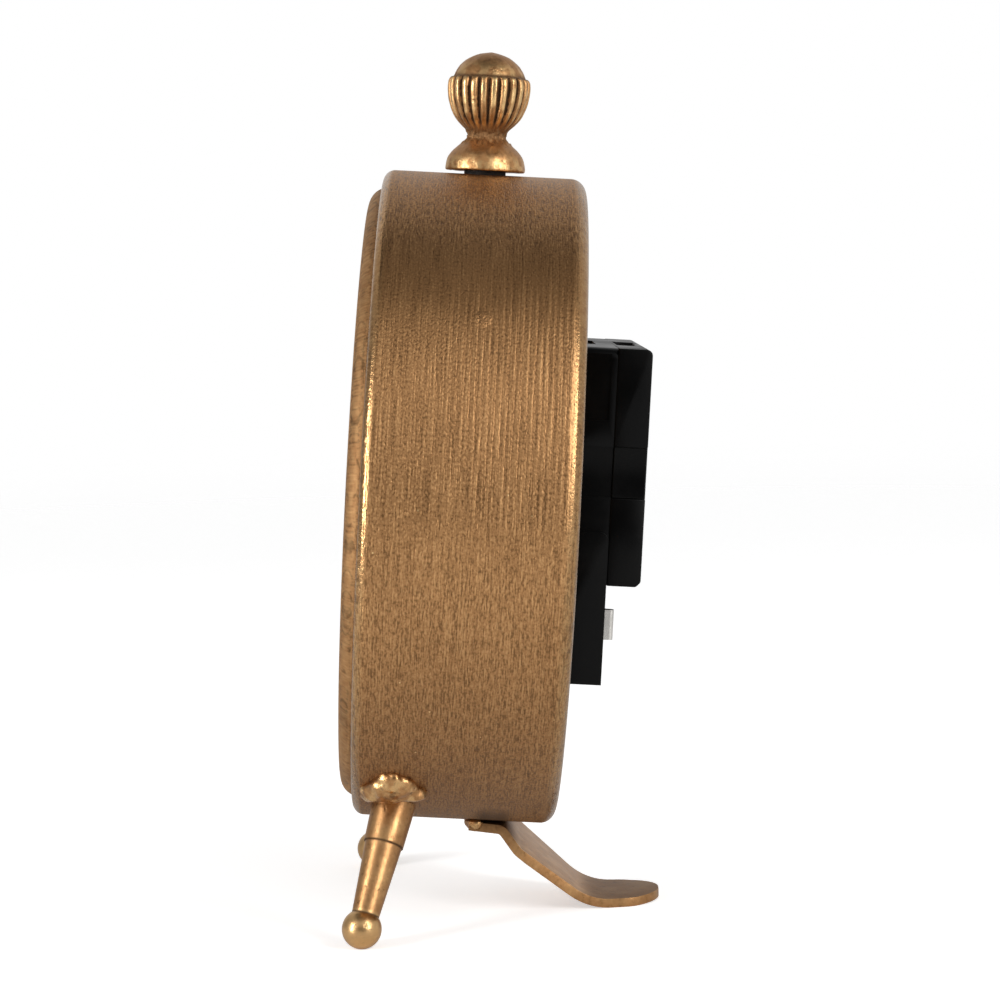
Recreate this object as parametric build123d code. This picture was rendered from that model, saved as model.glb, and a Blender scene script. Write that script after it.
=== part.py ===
from build123d import *
import math
import os

# Table clock: a leaning sheet drum on two turned legs and a strip foot, with a quartz movement behind its dial.
# Millimetres. The part stands on Z = 0 with its dial towards -Y and its origin under the middle of its box.
# Most pieces are made in the case frame: X across, Y along the drum's axis to the rear, Z up.

# Fits shared by all pieces
RUN_FIT = 0.05  # radial room of a shaft that turns
SEAT_FIT = 0.1  # room of a fixed piece in its seat
OVERRUN = 1.0  # how far a cutting solid passes the face that it cuts

# Case drum, rolled sheet with both edges turned in
DRUM_RADIUS = 56.0
DRUM_DEPTH = 34.1
DRUM_SHEET = 0.9
DRUM_LAP = 0.7  # how far the front edge stands before the case frame's origin
DRUM_FRONT_ROUND = 1.9
DRUM_REAR_ROUND = 2.6
DRUM_FRONT_LIP = 1.1
DRUM_EDGE_LIP = 0.5
DRUM_LEAN = 4.3  # degrees that the dial looks up

# Bezel ring, pressed sheet pushed into the drum's front opening
BEZEL_PROUD = 3.0
BEZEL_SHEET = 0.8
BEZEL_ROUND = 3.2
BEZEL_FACE = 2.8
BEZEL_SKIRT = 7.0

# Glass lens and the split spring ring behind it
GLASS_THICKNESS = 2.0
RING_SHEET = 0.6
RING_FOOT = 3.4
RING_WALL = 4.5
RING_SPLIT = 3.0

# Quartz movement, outer sizes
MOVEMENT_WIDTH = 56.0
MOVEMENT_DEPTH = 16.0
MOVEMENT_SUNK = 4.4  # how far its face lies inside the rear rim
MOVEMENT_WALL = 1.2
MOVEMENT_CORNER = 2.0
FRONT_CASE_DEPTH = 10.3
COVER_RELIEF = 0.4
COVER_TOP_ROUND = 1.0
COVER_FOOT_CHAMFER = 0.8
FRONT_CASE_RELIEF = 0.6
BAND_RECESS = 0.6
BAND_LOW = 3.3
BAND_HIGH = 11.7
PANEL_RECESS = 0.3
PANEL_LOW = 16.0
PANEL_MARGIN = 1.0
tray_share = 0.2964  # height of the cell's tray, of the movement's width
tray_shoulder_share = 0.4554  # from the movement's bottom to the top of the tray's proud sides
TRAY_ROUND = 1.5
TRAY_END_WALL = 1.4
HANGER_WIDTH = 19.0
HANGER_RECESS = 1.0
HANGER_MARGIN = 1.5

# Dial board, dial and their fixings
BOARD_THICKNESS = 9.0
BOARD_EDGE_GAP = 0.4
DIAL_THICKNESS = 0.4
DIAL_MARGIN = 0.6
RUBBER_THICKNESS = 0.8
RUBBER_RADIUS = 9.5
WASHER_THICKNESS = 0.5
WASHER_RADIUS = 7.0
NUT_THICKNESS = 2.0
NUT_FLATS = 11.0
BUSH_RADIUS = 4.0
BUSH_PROUD = 0.5
BUSH_FLANGE_RADIUS = 5.5
BUSH_FLANGE = 0.6

# Tabs spot welded inside the drum, and the screws that hold the board to them
TAB_SHEET = 0.9
TAB_WIDTH = 8.0
TAB_FOOT = 5.0
TAB_REACH = 6.6
TAB_ANGLES = (35.0, 145.0, 270.0)
SCREW_INSET = 4.4  # from the drum's inner wall to the screw's axis
SCREW_RADIUS = 0.9
SCREW_HEAD_RADIUS = 2.1
SCREW_HEAD = 1.3
SCREW_END = 0.8

# Finial and its fixing
FINIAL_SET = 16.6  # along the drum from the case frame's origin
FINIAL_WASHER_RADIUS = 3.6
FINIAL_WASHER = 0.6
FINIAL_BASE_RADIUS = 6.9
FINIAL_BASE_EDGE = 1.7
FINIAL_SHOULDER_RADIUS = 6.2
FINIAL_SHOULDER_RISE = 3.0
FINIAL_NECK_RADIUS = 3.3
FINIAL_NECK_RISE = 6.2
FINIAL_BELLY_RADIUS = 6.75
FINIAL_BELLY_RISE = 11.0
FINIAL_RIM_RADIUS = 7.2
FINIAL_RIM_RISE = 15.7
FINIAL_CAP_RADIUS = 6.25
FINIAL_CAP_STEP = 0.5
FINIAL_HEIGHT = 20.4
FLUTE_COUNT = 24
FLUTE_DEPTH = 0.55
FLUTE_WIDTH_share = 0.5
FLUTE_START_RISE = 1.2
STUD_RADIUS = 1.5
STUD_SET = 6.0
STUD_NUT = 2.4
STUD_NUT_FLATS = 5.5
STUD_END = 0.8

# Front legs: sleeve, shank and ball foot on one sloping axis
LEG_SET = 6.48  # along the drum from the case frame's origin
leg_spread_share = 0.4226  # from the middle to the leg's axis at the drum's skin, of the drum's radius
LEG_LENGTH = 21.57  # from the drum's skin to the middle of the ball
LEG_FORWARD = 12.1  # degrees forward of square to the drum
LEG_SPLAY = 25.7  # degrees outward
SLEEVE_LENGTH = 6.87
SLEEVE_TOP_RADIUS = 3.65
SLEEVE_END_RADIUS = 3.35
SHANK_TOP_RADIUS = 3.15
SHANK_END_RADIUS = 2.15
SHANK_PIN_RADIUS = 1.5
SHANK_PIN = 5.0
BALL_RADIUS = 3.32
BALL_FLAT = 0.12  # how much is worn off under the ball
BALL_PIN_RADIUS = 1.0
BALL_PIN = 1.6
LEG_LUMP_RADIUS = 1.45
LEG_LUMP_OUT = 0.35
leg_lump_shares = (1.0, 0.86, 1.08, 0.92, 1.12, 0.84, 1.02, 0.9, 1.1, 0.95, 1.06, 0.88, 1.0)
# the braze that ran up the drum's outer side: round the drum, along it, and its radius, of the ring's sizes
leg_run_shares = (
    (1.35, -0.65, 1.3),
    (1.45, 0.1, 1.45),
    (1.3, 0.75, 1.25),
    (1.95, -0.45, 1.15),
    (2.0, 0.3, 1.2),
    (2.4, -0.1, 0.95),
)

# Rear foot, a bent strip brazed under the drum at its front lip
FOOT_SHEET = 1.55
FOOT_WIDTH = 26.0
FOOT_WAIST_WIDTH = 18.2
FOOT_TIP_WIDTH = 15.6
foot_taper_shares = (0.1, 0.75)  # where the taper to the waist starts and ends, of the ramp's run
FOOT_LIP_SET = 19.4  # along the drum from the case frame's origin
FOOT_LIP_RISE = 1.1  # of its top over the drum's lowest line, so that its sides hold the drum
FOOT_KNEE_SET = 25.1
FOOT_KNEE_RISE = 0.7
FOOT_DROP_RUN = 2.6
FOOT_DROP = 56.0  # degrees to the floor
FOOT_RAMP = 41.0  # degrees to the floor
FOOT_PAD = 8.4
FOOT_TIP_RUN = 4.3
FOOT_TIP_RISE = 0.3
FOOT_KNEE_BEND = 1.7
FOOT_DROP_BEND = 3.0
FOOT_PAD_BEND = 11.0
FOOT_TIP_BEND = 10.0
FOOT_LUMP_RADIUS = 1.5
FOOT_LUMP_COUNT = 15

# Hands and the three concentric shafts that carry them
SECOND_ARBOR_RADIUS = 0.5
MINUTE_PIPE_RADIUS = 1.55
MINUTE_REAR_RADIUS = 1.1
HOUR_PIPE_RADIUS = 2.5
HOUR_PIPE_PROUD = 2.1  # in front of the bush
MINUTE_PIPE_PROUD = 2.0  # in front of the hour pipe
SECOND_ARBOR_PROUD = 1.8  # in front of the minute pipe
HAND_SHEET = 0.4
HAND_COLLET = 1.0
HAND_COLLET_WALL = 1.2
HAND_END_SET = 0.4  # from a shaft's front end to its hand's collet
HOUR_HAND_LENGTH = 28.0
HOUR_HAND_WIDTH = 3.0
HOUR_HAND_TAIL = 7.0
MINUTE_HAND_LENGTH = 40.0
MINUTE_HAND_WIDTH = 2.4
MINUTE_HAND_TAIL = 8.0
SECOND_HAND_LENGTH = 42.0
SECOND_HAND_WIDTH = 0.9
SECOND_HAND_TAIL = 13.0
HOUR_HAND_AT = 305.0  # degrees clockwise from twelve
MINUTE_HAND_AT = 60.0
SECOND_HAND_AT = 216.0

# Wheels of the movement: tooth counts, distances between arbors, and levels behind the movement's face
ROTOR_TEETH = 8
IDLER_TEETH = 48
IDLER_PINION_TEETH = 8
SECOND_TEETH = 40
SECOND_PINION_TEETH = 8
THIRD_TEETH = 60
THIRD_PINION_TEETH = 8
CENTRE_TEETH = 64
CANNON_TEETH = 12
MINUTE_TEETH = 36
MINUTE_PINION_TEETH = 10
HOUR_TEETH = 40
SETTING_TEETH = 12
train_share = 0.1607  # from the hands' axis to the third arbor and to the idler arbor, of the movement's width
rotor_share = 0.11  # from the idler arbor to the rotor's, of the movement's width
motion_share = 0.118  # between the motion work's arbors, of the movement's width
THIRD_DIRECTION = 90.0  # degrees, as seen from the front, from +X towards +Z
IDLER_DIRECTION = 180.0
ROTOR_DIRECTION = 115.0
MINUTE_DIRECTION = -25.0
SETTING_DIRECTION = 25.0
PRESSURE_ANGLE = 20.0
TOOTH_share = 0.42
ADDENDUM_share = 0.75
DEDENDUM_share = 1.15
LEVEL_share = 0.078  # one level of wheels, of the movement's depth
WHEEL_THICKNESS = 0.8
PINION_OVERLAP = 0.1
WHEEL_FLOAT = 0.3
ARBOR_RADIUS = 0.5
PIVOT_DEPTH = 0.7
rotor_radius_share = 0.0464  # of the movement's width
ROTOR_THICKNESS = 2.0

# Fixed pieces inside the movement, with shares of the movement's width
BRIDGE_THICKNESS = 1.0
bridge_left_share = 0.3214
bridge_right_share = 0.1946
bridge_high_share = 0.25
BRIDGE_ROOM = 0.2
BRIDGE_CORNER = 2.0
BRIDGE_PIVOT_END = 0.4
POST_RADIUS = 0.8
POST_PIN_RADIUS = 0.5
bridge_post_shares = ((-0.2946, -0.0804), (0.1714, 0.1536), (-0.107, -0.157))
MINUTE_POST_RADIUS = 0.7
core_left_shares = (-0.3661, 0.3571)
core_right_shares = (0.0446, 0.3571)
core_width_share = 0.0714
CORE_THICKNESS = 0.8
STATOR_THICKNESS = 0.8
stator_arm_share = 0.0607
stator_rim_share = 0.0357
STATOR_AIR_GAP = 0.4
stator_knee_share = 0.1107
bobbin_share = 0.3036
bobbin_flange_share = 0.075
BOBBIN_FLANGE = 0.8
BOBBIN_WALL = 0.6
winding_share = 0.0643
circuit_low_shares = (0.225, 0.1714)
CIRCUIT_ROOM = 0.6
CIRCUIT_THICKNESS = 1.0
CIRCUIT_POST_MARGIN = 1.8
CHIP_SIZE = 4.0
chip_corner_share = 0.25
CHIP_THICKNESS = 0.9
CRYSTAL_RADIUS = 1.0
CRYSTAL_LENGTH = 6.0
CRYSTAL_DROP = 3.4
crystal_sunk_share = 0.875

# Setting knob in the back cover
KNOB_RADIUS = 6.0
KNOB_FLANGE_RADIUS = 6.9
KNOB_FLANGE = 0.9
knob_shaft_share = 0.0214  # of the movement's width
KNOB_INSET = 0.2
KNOB_ROOM = 0.3
KNOB_RIBS = 20
KNOB_RIB_RADIUS = 0.35

# Battery contacts, folded nickel strip
CONTACT_SHEET = 0.35
CONTACT_WIDTH = 5.0
CONTACT_PROUD = 1.6
CONTACT_FOLD = 1.3
CONTACT_LEAF = 7.2
CONTACT_BULGE = 1.1
CONTACT_FOLD_BEND = 0.5
CONTACT_BULGE_BEND = 0.8
CONTACT_DROP = 1.1  # below the middle of the tray

# Places along the drum's axis, from the front to the rear
DRUM_FRONT_OPENING = DRUM_RADIUS - DRUM_FRONT_ROUND - DRUM_FRONT_LIP
DRUM_REAR_OPENING = DRUM_RADIUS - DRUM_REAR_ROUND - DRUM_EDGE_LIP
DRUM_INNER_RADIUS = DRUM_RADIUS - DRUM_SHEET
BEZEL_RADIUS = DRUM_FRONT_OPENING - RUN_FIT
BEZEL_FACE_RADIUS = BEZEL_RADIUS - BEZEL_ROUND
BEZEL_OPENING = BEZEL_FACE_RADIUS - BEZEL_FACE
GLASS_FRONT_Y = BEZEL_SHEET - BEZEL_PROUD
GLASS_REAR_Y = GLASS_FRONT_Y + GLASS_THICKNESS
GLASS_RADIUS = BEZEL_FACE_RADIUS - SEAT_FIT
FACE_Y = DRUM_DEPTH - MOVEMENT_SUNK
PARTING_Y = FACE_Y + FRONT_CASE_DEPTH
REAR_Y = FACE_Y + MOVEMENT_DEPTH
BOARD_REAR_Y = FACE_Y - RUBBER_THICKNESS
BOARD_FRONT_Y = BOARD_REAR_Y - BOARD_THICKNESS
DIAL_FRONT_Y = BOARD_FRONT_Y - DIAL_THICKNESS
BOARD_RADIUS = DRUM_REAR_OPENING - BOARD_EDGE_GAP
DIAL_RADIUS = BOARD_RADIUS - DIAL_MARGIN
WASHER_FRONT_Y = DIAL_FRONT_Y - WASHER_THICKNESS
NUT_FRONT_Y = WASHER_FRONT_Y - NUT_THICKNESS
BUSH_FRONT_Y = NUT_FRONT_Y - BUSH_PROUD
HOUR_PIPE_Y = BUSH_FRONT_Y - HOUR_PIPE_PROUD
MINUTE_PIPE_Y = HOUR_PIPE_Y - MINUTE_PIPE_PROUD
SECOND_ARBOR_Y = MINUTE_PIPE_Y - SECOND_ARBOR_PROUD
SCREW_CIRCLE = DRUM_INNER_RADIUS - SCREW_INSET

# Sizes and places inside the movement
HALF_WIDTH = MOVEMENT_WIDTH / 2
TRAY_HEIGHT = tray_share * MOVEMENT_WIDTH
TRAY_SHOULDER = tray_shoulder_share * MOVEMENT_WIDTH
TRAIN_DISTANCE = train_share * MOVEMENT_WIDTH
ROTOR_DISTANCE = rotor_share * MOVEMENT_WIDTH
MOTION_DISTANCE = motion_share * MOVEMENT_WIDTH
ROTOR_RADIUS = rotor_radius_share * MOVEMENT_WIDTH
KNOB_SHAFT_RADIUS = knob_shaft_share * MOVEMENT_WIDTH
TRAY_TOP = TRAY_HEIGHT - HALF_WIDTH
FRONT_CASE_HALF = HALF_WIDTH - FRONT_CASE_RELIEF
COVER_HALF = HALF_WIDTH - COVER_RELIEF
CAVITY_HALF = FRONT_CASE_HALF - BAND_RECESS - MOVEMENT_WALL
CAVITY_TOP = HALF_WIDTH - HANGER_RECESS - MOVEMENT_WALL
CAVITY_LOW = TRAY_TOP + MOVEMENT_WALL
BRIDGE_LEFT = bridge_left_share * MOVEMENT_WIDTH
BRIDGE_RIGHT = bridge_right_share * MOVEMENT_WIDTH
BRIDGE_HIGH = bridge_high_share * MOVEMENT_WIDTH
BRIDGE_LOW = -CAVITY_LOW - BRIDGE_ROOM
BRIDGE_POSTS = [(x * MOVEMENT_WIDTH, z * MOVEMENT_WIDTH) for x, z in bridge_post_shares]
CORE_LEFT = (core_left_shares[0] * MOVEMENT_WIDTH, core_left_shares[1] * MOVEMENT_WIDTH)
CORE_RIGHT = (core_right_shares[0] * MOVEMENT_WIDTH, core_right_shares[1] * MOVEMENT_WIDTH)
CORE_WIDTH = core_width_share * MOVEMENT_WIDTH
STATOR_ARM = stator_arm_share * MOVEMENT_WIDTH
STATOR_RIM = stator_rim_share * MOVEMENT_WIDTH
STATOR_KNEE_DROP = stator_knee_share * MOVEMENT_WIDTH
BOBBIN_LENGTH = bobbin_share * MOVEMENT_WIDTH
BOBBIN_FLANGE_RADIUS = bobbin_flange_share * MOVEMENT_WIDTH
WINDING_RADIUS = winding_share * MOVEMENT_WIDTH
CIRCUIT_LOW = (circuit_low_shares[0] * MOVEMENT_WIDTH, circuit_low_shares[1] * MOVEMENT_WIDTH)
CIRCUIT_HIGH = (CAVITY_HALF - CIRCUIT_ROOM, CAVITY_TOP - CIRCUIT_ROOM)
LEVEL_STEP = LEVEL_share * MOVEMENT_DEPTH
WALL_Y = FACE_Y + MOVEMENT_WALL
HOUR_LEVEL_Y = WALL_Y + WHEEL_FLOAT
MINUTE_LEVEL_Y = HOUR_LEVEL_Y + LEVEL_STEP
CENTRE_LEVEL_Y = MINUTE_LEVEL_Y + LEVEL_STEP
THIRD_LEVEL_Y = CENTRE_LEVEL_Y + LEVEL_STEP
SECOND_LEVEL_Y = THIRD_LEVEL_Y + LEVEL_STEP
IDLER_LEVEL_Y = SECOND_LEVEL_Y + LEVEL_STEP
ROTOR_LEVEL_Y = IDLER_LEVEL_Y + LEVEL_STEP
BRIDGE_Y = ROTOR_LEVEL_Y + ROTOR_THICKNESS + WHEEL_FLOAT
BRIDGE_REAR_Y = BRIDGE_Y + BRIDGE_THICKNESS
ARBOR_FRONT_Y = WALL_Y - PIVOT_DEPTH
ARBOR_REAR_Y = BRIDGE_REAR_Y + BRIDGE_PIVOT_END
STATOR_Y = ROTOR_LEVEL_Y + (ROTOR_THICKNESS - STATOR_THICKNESS) / 2
CORE_Y = STATOR_Y - CORE_THICKNESS
CIRCUIT_Y = STATOR_Y + STATOR_THICKNESS


def polar(start, distance, direction):
    """The point at a distance and direction, in degrees, from another point of the dial's plane."""
    angle = math.radians(direction)
    return (start[0] + distance * math.cos(angle), start[1] + distance * math.sin(angle))


CENTRE_AT = (0.0, 0.0)
THIRD_AT = polar(CENTRE_AT, TRAIN_DISTANCE, THIRD_DIRECTION)
IDLER_AT = polar(CENTRE_AT, TRAIN_DISTANCE, IDLER_DIRECTION)
ROTOR_AT = polar(IDLER_AT, ROTOR_DISTANCE, ROTOR_DIRECTION)
MINUTE_AT = polar(CENTRE_AT, MOTION_DISTANCE, MINUTE_DIRECTION)
SETTING_AT = polar(MINUTE_AT, MOTION_DISTANCE, SETTING_DIRECTION)

# The legs' axes and the floor
LEG_SPREAD = leg_spread_share * DRUM_RADIUS
LEG_ROOT_Z = -math.sqrt(DRUM_RADIUS**2 - LEG_SPREAD**2)
LEG_DOWN = Vector(
    math.tan(math.radians(LEG_SPLAY)), -math.tan(math.radians(LEG_FORWARD)), -1
).normalized()
BALL_AT = Vector(LEG_SPREAD, LEG_SET, LEG_ROOT_Z) + LEG_DOWN * LEG_LENGTH
LEAN_SIN = math.sin(math.radians(DRUM_LEAN))
LEAN_COS = math.cos(math.radians(DRUM_LEAN))
AXIS_HEIGHT = BALL_RADIUS - BALL_FLAT + BALL_AT.Y * LEAN_SIN - BALL_AT.Z * LEAN_COS


def leaned(y, z):
    """Depth and height above the floor of a case point, before the origin is moved under the box's middle."""
    return (y * LEAN_COS + z * LEAN_SIN, AXIS_HEIGHT - y * LEAN_SIN + z * LEAN_COS)


# The rear foot's bends, in depth and height above the floor
FOOT_MID = FOOT_SHEET / 2
FOOT_LIP = leaned(FOOT_LIP_SET, FOOT_LIP_RISE - DRUM_RADIUS - FOOT_MID)
FOOT_KNEE = leaned(FOOT_KNEE_SET, FOOT_KNEE_RISE - DRUM_RADIUS - FOOT_MID)
FOOT_STEP = (
    FOOT_KNEE[0] + FOOT_DROP_RUN,
    FOOT_KNEE[1] - FOOT_DROP_RUN * math.tan(math.radians(FOOT_DROP)),
)
FOOT_HEEL = (FOOT_STEP[0] + (FOOT_STEP[1] - FOOT_MID) / math.tan(math.radians(FOOT_RAMP)), FOOT_MID)
FOOT_TOE = (FOOT_HEEL[0] + FOOT_PAD, FOOT_MID)
FOOT_TIP = (FOOT_TOE[0] + FOOT_TIP_RUN, FOOT_MID + FOOT_TIP_RISE)

# The box's middle in depth, from the bezel's lowest front edge to the rear foot's tip
BOX_FRONT = (BEZEL_ROUND - BEZEL_PROUD) * LEAN_COS - BEZEL_FACE_RADIUS * LEAN_SIN - BEZEL_ROUND
BOX_MIDDLE = (BOX_FRONT + FOOT_TIP[0]) / 2
CASE_PLACE = Location((0, -BOX_MIDDLE, AXIS_HEIGHT), (-DRUM_LEAN, 0, 0))


def case_point(x, y, z):
    """A case point in the part's frame."""
    depth, height = leaned(y, z)
    return Vector(x, depth - BOX_MIDDLE, height)


# Shapes shared by several pieces
def slab(sketch, front_y, rear_y):
    """A sketch drawn as seen from the front, X right and Z up, made solid from one depth to another."""
    plane = Plane(origin=(0, rear_y, 0), x_dir=(1, 0, 0), z_dir=(0, -1, 0))
    return extrude(plane * sketch, amount=rear_y - front_y)


def disc(radius, front_y, rear_y, at=CENTRE_AT):
    return slab(Pos(*at) * Circle(radius), front_y, rear_y)


def washer(radius, bore, front_y, rear_y, at=CENTRE_AT):
    return slab(Pos(*at) * (Circle(radius) - Circle(bore)), front_y, rear_y)


def block(low, high, front_y, rear_y):
    """A slab between two corners given in X and Z."""
    width = high[0] - low[0]
    height = high[1] - low[1]
    middle = ((low[0] + high[0]) / 2, (low[1] + high[1]) / 2)
    return slab(Pos(*middle) * Rectangle(width, height), front_y, rear_y)


def barrel(radius, front_y, rear_y, front_round, rear_round):
    """A round disc with rounded front and rear edges."""
    body = disc(radius, front_y, rear_y)
    circles = body.edges().filter_by(GeomType.CIRCLE).sort_by(Axis.Y)
    body = fillet([circles[0]], front_round)
    if rear_round:
        circles = body.edges().filter_by(GeomType.CIRCLE).sort_by(Axis.Y)
        body = fillet([circles[-1]], rear_round)
    return body


def bar(start, end, width, front_y, rear_y):
    """A flat bar with round ends between two points of the dial's plane."""
    across = end[0] - start[0]
    up = end[1] - start[1]
    middle = ((start[0] + end[0]) / 2, (start[1] + end[1]) / 2)
    turned = Rot(0, 0, math.degrees(math.atan2(up, across)))
    return slab(Pos(*middle) * turned * SlotCenterToCenter(math.hypot(across, up), width), front_y, rear_y)


def bent_strip(points, bends, across, width, sheet):
    """A flat strip along a path of straight runs and tangent arcs."""
    path = FilletPolyline(*points, radius=bends)
    section = Plane(origin=path @ 0, x_dir=across, z_dir=path % 0) * Rectangle(width, sheet)
    return sweep(section, path=path)


def involute(angle):
    return math.tan(angle) - angle


def gear_sketch(teeth, distance, mate_teeth, phase):
    """A gear's outline, sized to mesh with its mate at the given distance between their arbors."""
    module = 2 * distance / (teeth + mate_teeth)
    pressure = math.radians(PRESSURE_ANGLE)
    pitch_radius = teeth * module / 2
    base_radius = pitch_radius * math.cos(pressure)
    root_radius = pitch_radius - DEDENDUM_share * module
    tip_radius = pitch_radius + ADDENDUM_share * module
    flank = []
    for radius in (root_radius, pitch_radius, tip_radius):
        roll = math.acos(min(1, base_radius / radius))
        flank.append((radius, TOOTH_share * math.pi / teeth + involute(pressure) - involute(roll)))
    outline = []
    for tooth in range(teeth):
        middle = math.radians(phase) + 2 * math.pi * tooth / teeth
        for radius, half in flank:
            outline.append((radius * math.cos(middle - half), radius * math.sin(middle - half)))
        for radius, half in reversed(flank):
            outline.append((radius * math.cos(middle + half), radius * math.sin(middle + half)))
    return make_face(Polyline(*outline, close=True))


def mesh_phase(phase, teeth, mate_teeth, direction):
    """The phase of a mate's teeth that puts its gap where this gear's tooth points at it."""
    teeth_past = (direction - phase) * teeth / 360
    return direction + 180 - (1 / 2 - teeth_past) * 360 / mate_teeth


def wheel(sketch, at, level_y):
    return slab(Pos(*at) * sketch, level_y, level_y + WHEEL_THICKNESS)


def pinion(sketch, at, level_y):
    """A pinion that is a little longer than the wheel at its level."""
    return slab(Pos(*at) * sketch, level_y - PINION_OVERLAP, level_y + WHEEL_THICKNESS + PINION_OVERLAP)


# Case drum
def make_drum():
    outer = barrel(DRUM_RADIUS, -DRUM_LAP, DRUM_DEPTH, DRUM_FRONT_ROUND, DRUM_REAR_ROUND)
    inner = barrel(
        DRUM_INNER_RADIUS,
        DRUM_SHEET - DRUM_LAP,
        DRUM_DEPTH - DRUM_SHEET,
        DRUM_FRONT_ROUND - DRUM_SHEET,
        DRUM_REAR_ROUND - DRUM_SHEET,
    )
    front = disc(DRUM_FRONT_OPENING, -DRUM_LAP - OVERRUN, DRUM_SHEET - DRUM_LAP + OVERRUN)
    rear = disc(DRUM_REAR_OPENING, DRUM_DEPTH - DRUM_SHEET - OVERRUN, DRUM_DEPTH + OVERRUN)
    stud_hole = Pos(0, FINIAL_SET, DRUM_RADIUS) * Cylinder(STUD_RADIUS + SEAT_FIT, (DRUM_SHEET + OVERRUN) * 2)
    return outer - inner - front - rear - stud_hole


def drum_core():
    """The full round of the drum's skin, which trims what is fixed to its outside."""
    return disc(DRUM_RADIUS, -DRUM_DEPTH, DRUM_DEPTH * 2)


# Bezel, glass and retaining ring
def make_bezel():
    outer = barrel(BEZEL_RADIUS, -BEZEL_PROUD, BEZEL_SKIRT, BEZEL_ROUND, 0)
    hollow = barrel(
        BEZEL_RADIUS - BEZEL_SHEET,
        BEZEL_SHEET - BEZEL_PROUD,
        BEZEL_SKIRT + OVERRUN,
        BEZEL_ROUND - BEZEL_SHEET,
        0,
    )
    return outer - hollow - disc(BEZEL_OPENING, -BEZEL_PROUD - OVERRUN, BEZEL_SKIRT)


def make_glass():
    return disc(GLASS_RADIUS, GLASS_FRONT_Y, GLASS_REAR_Y)


def make_retaining_ring():
    outer = BEZEL_RADIUS - BEZEL_SHEET - SEAT_FIT
    foot = washer(outer, outer - RING_FOOT, GLASS_REAR_Y, GLASS_REAR_Y + RING_SHEET)
    wall = washer(outer, outer - RING_SHEET, GLASS_REAR_Y, GLASS_REAR_Y + RING_WALL)
    split = block((-RING_SPLIT / 2, -DRUM_RADIUS), (RING_SPLIT / 2, 0), -BEZEL_PROUD, BEZEL_SKIRT)
    return foot + wall - split


# Tabs, board, dial and screws
def make_tab(angle):
    """An L of sheet whose foot lies on the drum's inner wall and whose flange stops the dial board."""
    foot = washer(DRUM_INNER_RADIUS, DRUM_INNER_RADIUS - TAB_SHEET, DIAL_FRONT_Y - TAB_FOOT, DIAL_FRONT_Y)
    flange = washer(DRUM_INNER_RADIUS, DRUM_INNER_RADIUS - TAB_REACH, DIAL_FRONT_Y - TAB_SHEET, DIAL_FRONT_Y)
    strip = slab(
        Rot(0, 0, angle) * Pos(DRUM_RADIUS, 0) * Rectangle(DRUM_RADIUS, TAB_WIDTH), 0, DRUM_DEPTH
    )
    hole = disc(SCREW_RADIUS, 0, DRUM_DEPTH, polar(CENTRE_AT, SCREW_CIRCLE, angle))
    return (foot + flange) & strip - hole


def screw_holes(radius):
    return [disc(radius, 0, DRUM_DEPTH, polar(CENTRE_AT, SCREW_CIRCLE, angle)) for angle in TAB_ANGLES]


def make_screw(angle):
    at = polar(CENTRE_AT, SCREW_CIRCLE, angle)
    shank = disc(SCREW_RADIUS, DIAL_FRONT_Y - TAB_SHEET - SCREW_END, BOARD_REAR_Y, at)
    head = disc(SCREW_HEAD_RADIUS, BOARD_REAR_Y, BOARD_REAR_Y + SCREW_HEAD, at)
    head = fillet([head.edges().filter_by(GeomType.CIRCLE).sort_by(Axis.Y)[-1]], SCREW_HEAD / 2)
    slot_width = SCREW_RADIUS / 2
    slot_size = Rectangle((SCREW_HEAD_RADIUS + OVERRUN) * 2, slot_width)
    slot = slab(Pos(*at) * Rot(0, 0, angle) * slot_size, BOARD_REAR_Y + SCREW_HEAD / 2, DRUM_DEPTH)
    return shank + head - slot


def make_board():
    body = washer(BOARD_RADIUS, BUSH_RADIUS + SEAT_FIT, BOARD_FRONT_Y, BOARD_REAR_Y)
    return body - screw_holes(SCREW_RADIUS + SEAT_FIT)


def make_dial():
    body = washer(DIAL_RADIUS, BUSH_RADIUS + SEAT_FIT, DIAL_FRONT_Y, BOARD_FRONT_Y)
    return body - screw_holes(SCREW_RADIUS + SEAT_FIT)


# Finial, its washer, stud and nut
FINIAL_FOOT_Z = DRUM_RADIUS + FINIAL_WASHER


def finial_band(inward, outward):
    """The belly's profile as a band of the given reach inside and outside its surface."""
    start_rise = FINIAL_NECK_RISE + FLUTE_START_RISE
    inner = [(FINIAL_NECK_RADIUS, start_rise), (FINIAL_BELLY_RADIUS, FINIAL_BELLY_RISE)]
    inner.append((FINIAL_RIM_RADIUS, FINIAL_RIM_RISE + FINIAL_CAP_STEP / 2))
    low, mid, top = [(radius - inward, FINIAL_FOOT_Z + rise) for radius, rise in inner]
    out_low = (low[0] + inward + outward, low[1])
    out_top = (top[0] + inward + outward, top[1])
    edges = [ThreePointArc(low, mid, top), Line(top, out_top), Line(out_top, out_low), Line(out_low, low)]
    return Plane.XZ * make_face(edges)


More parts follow.
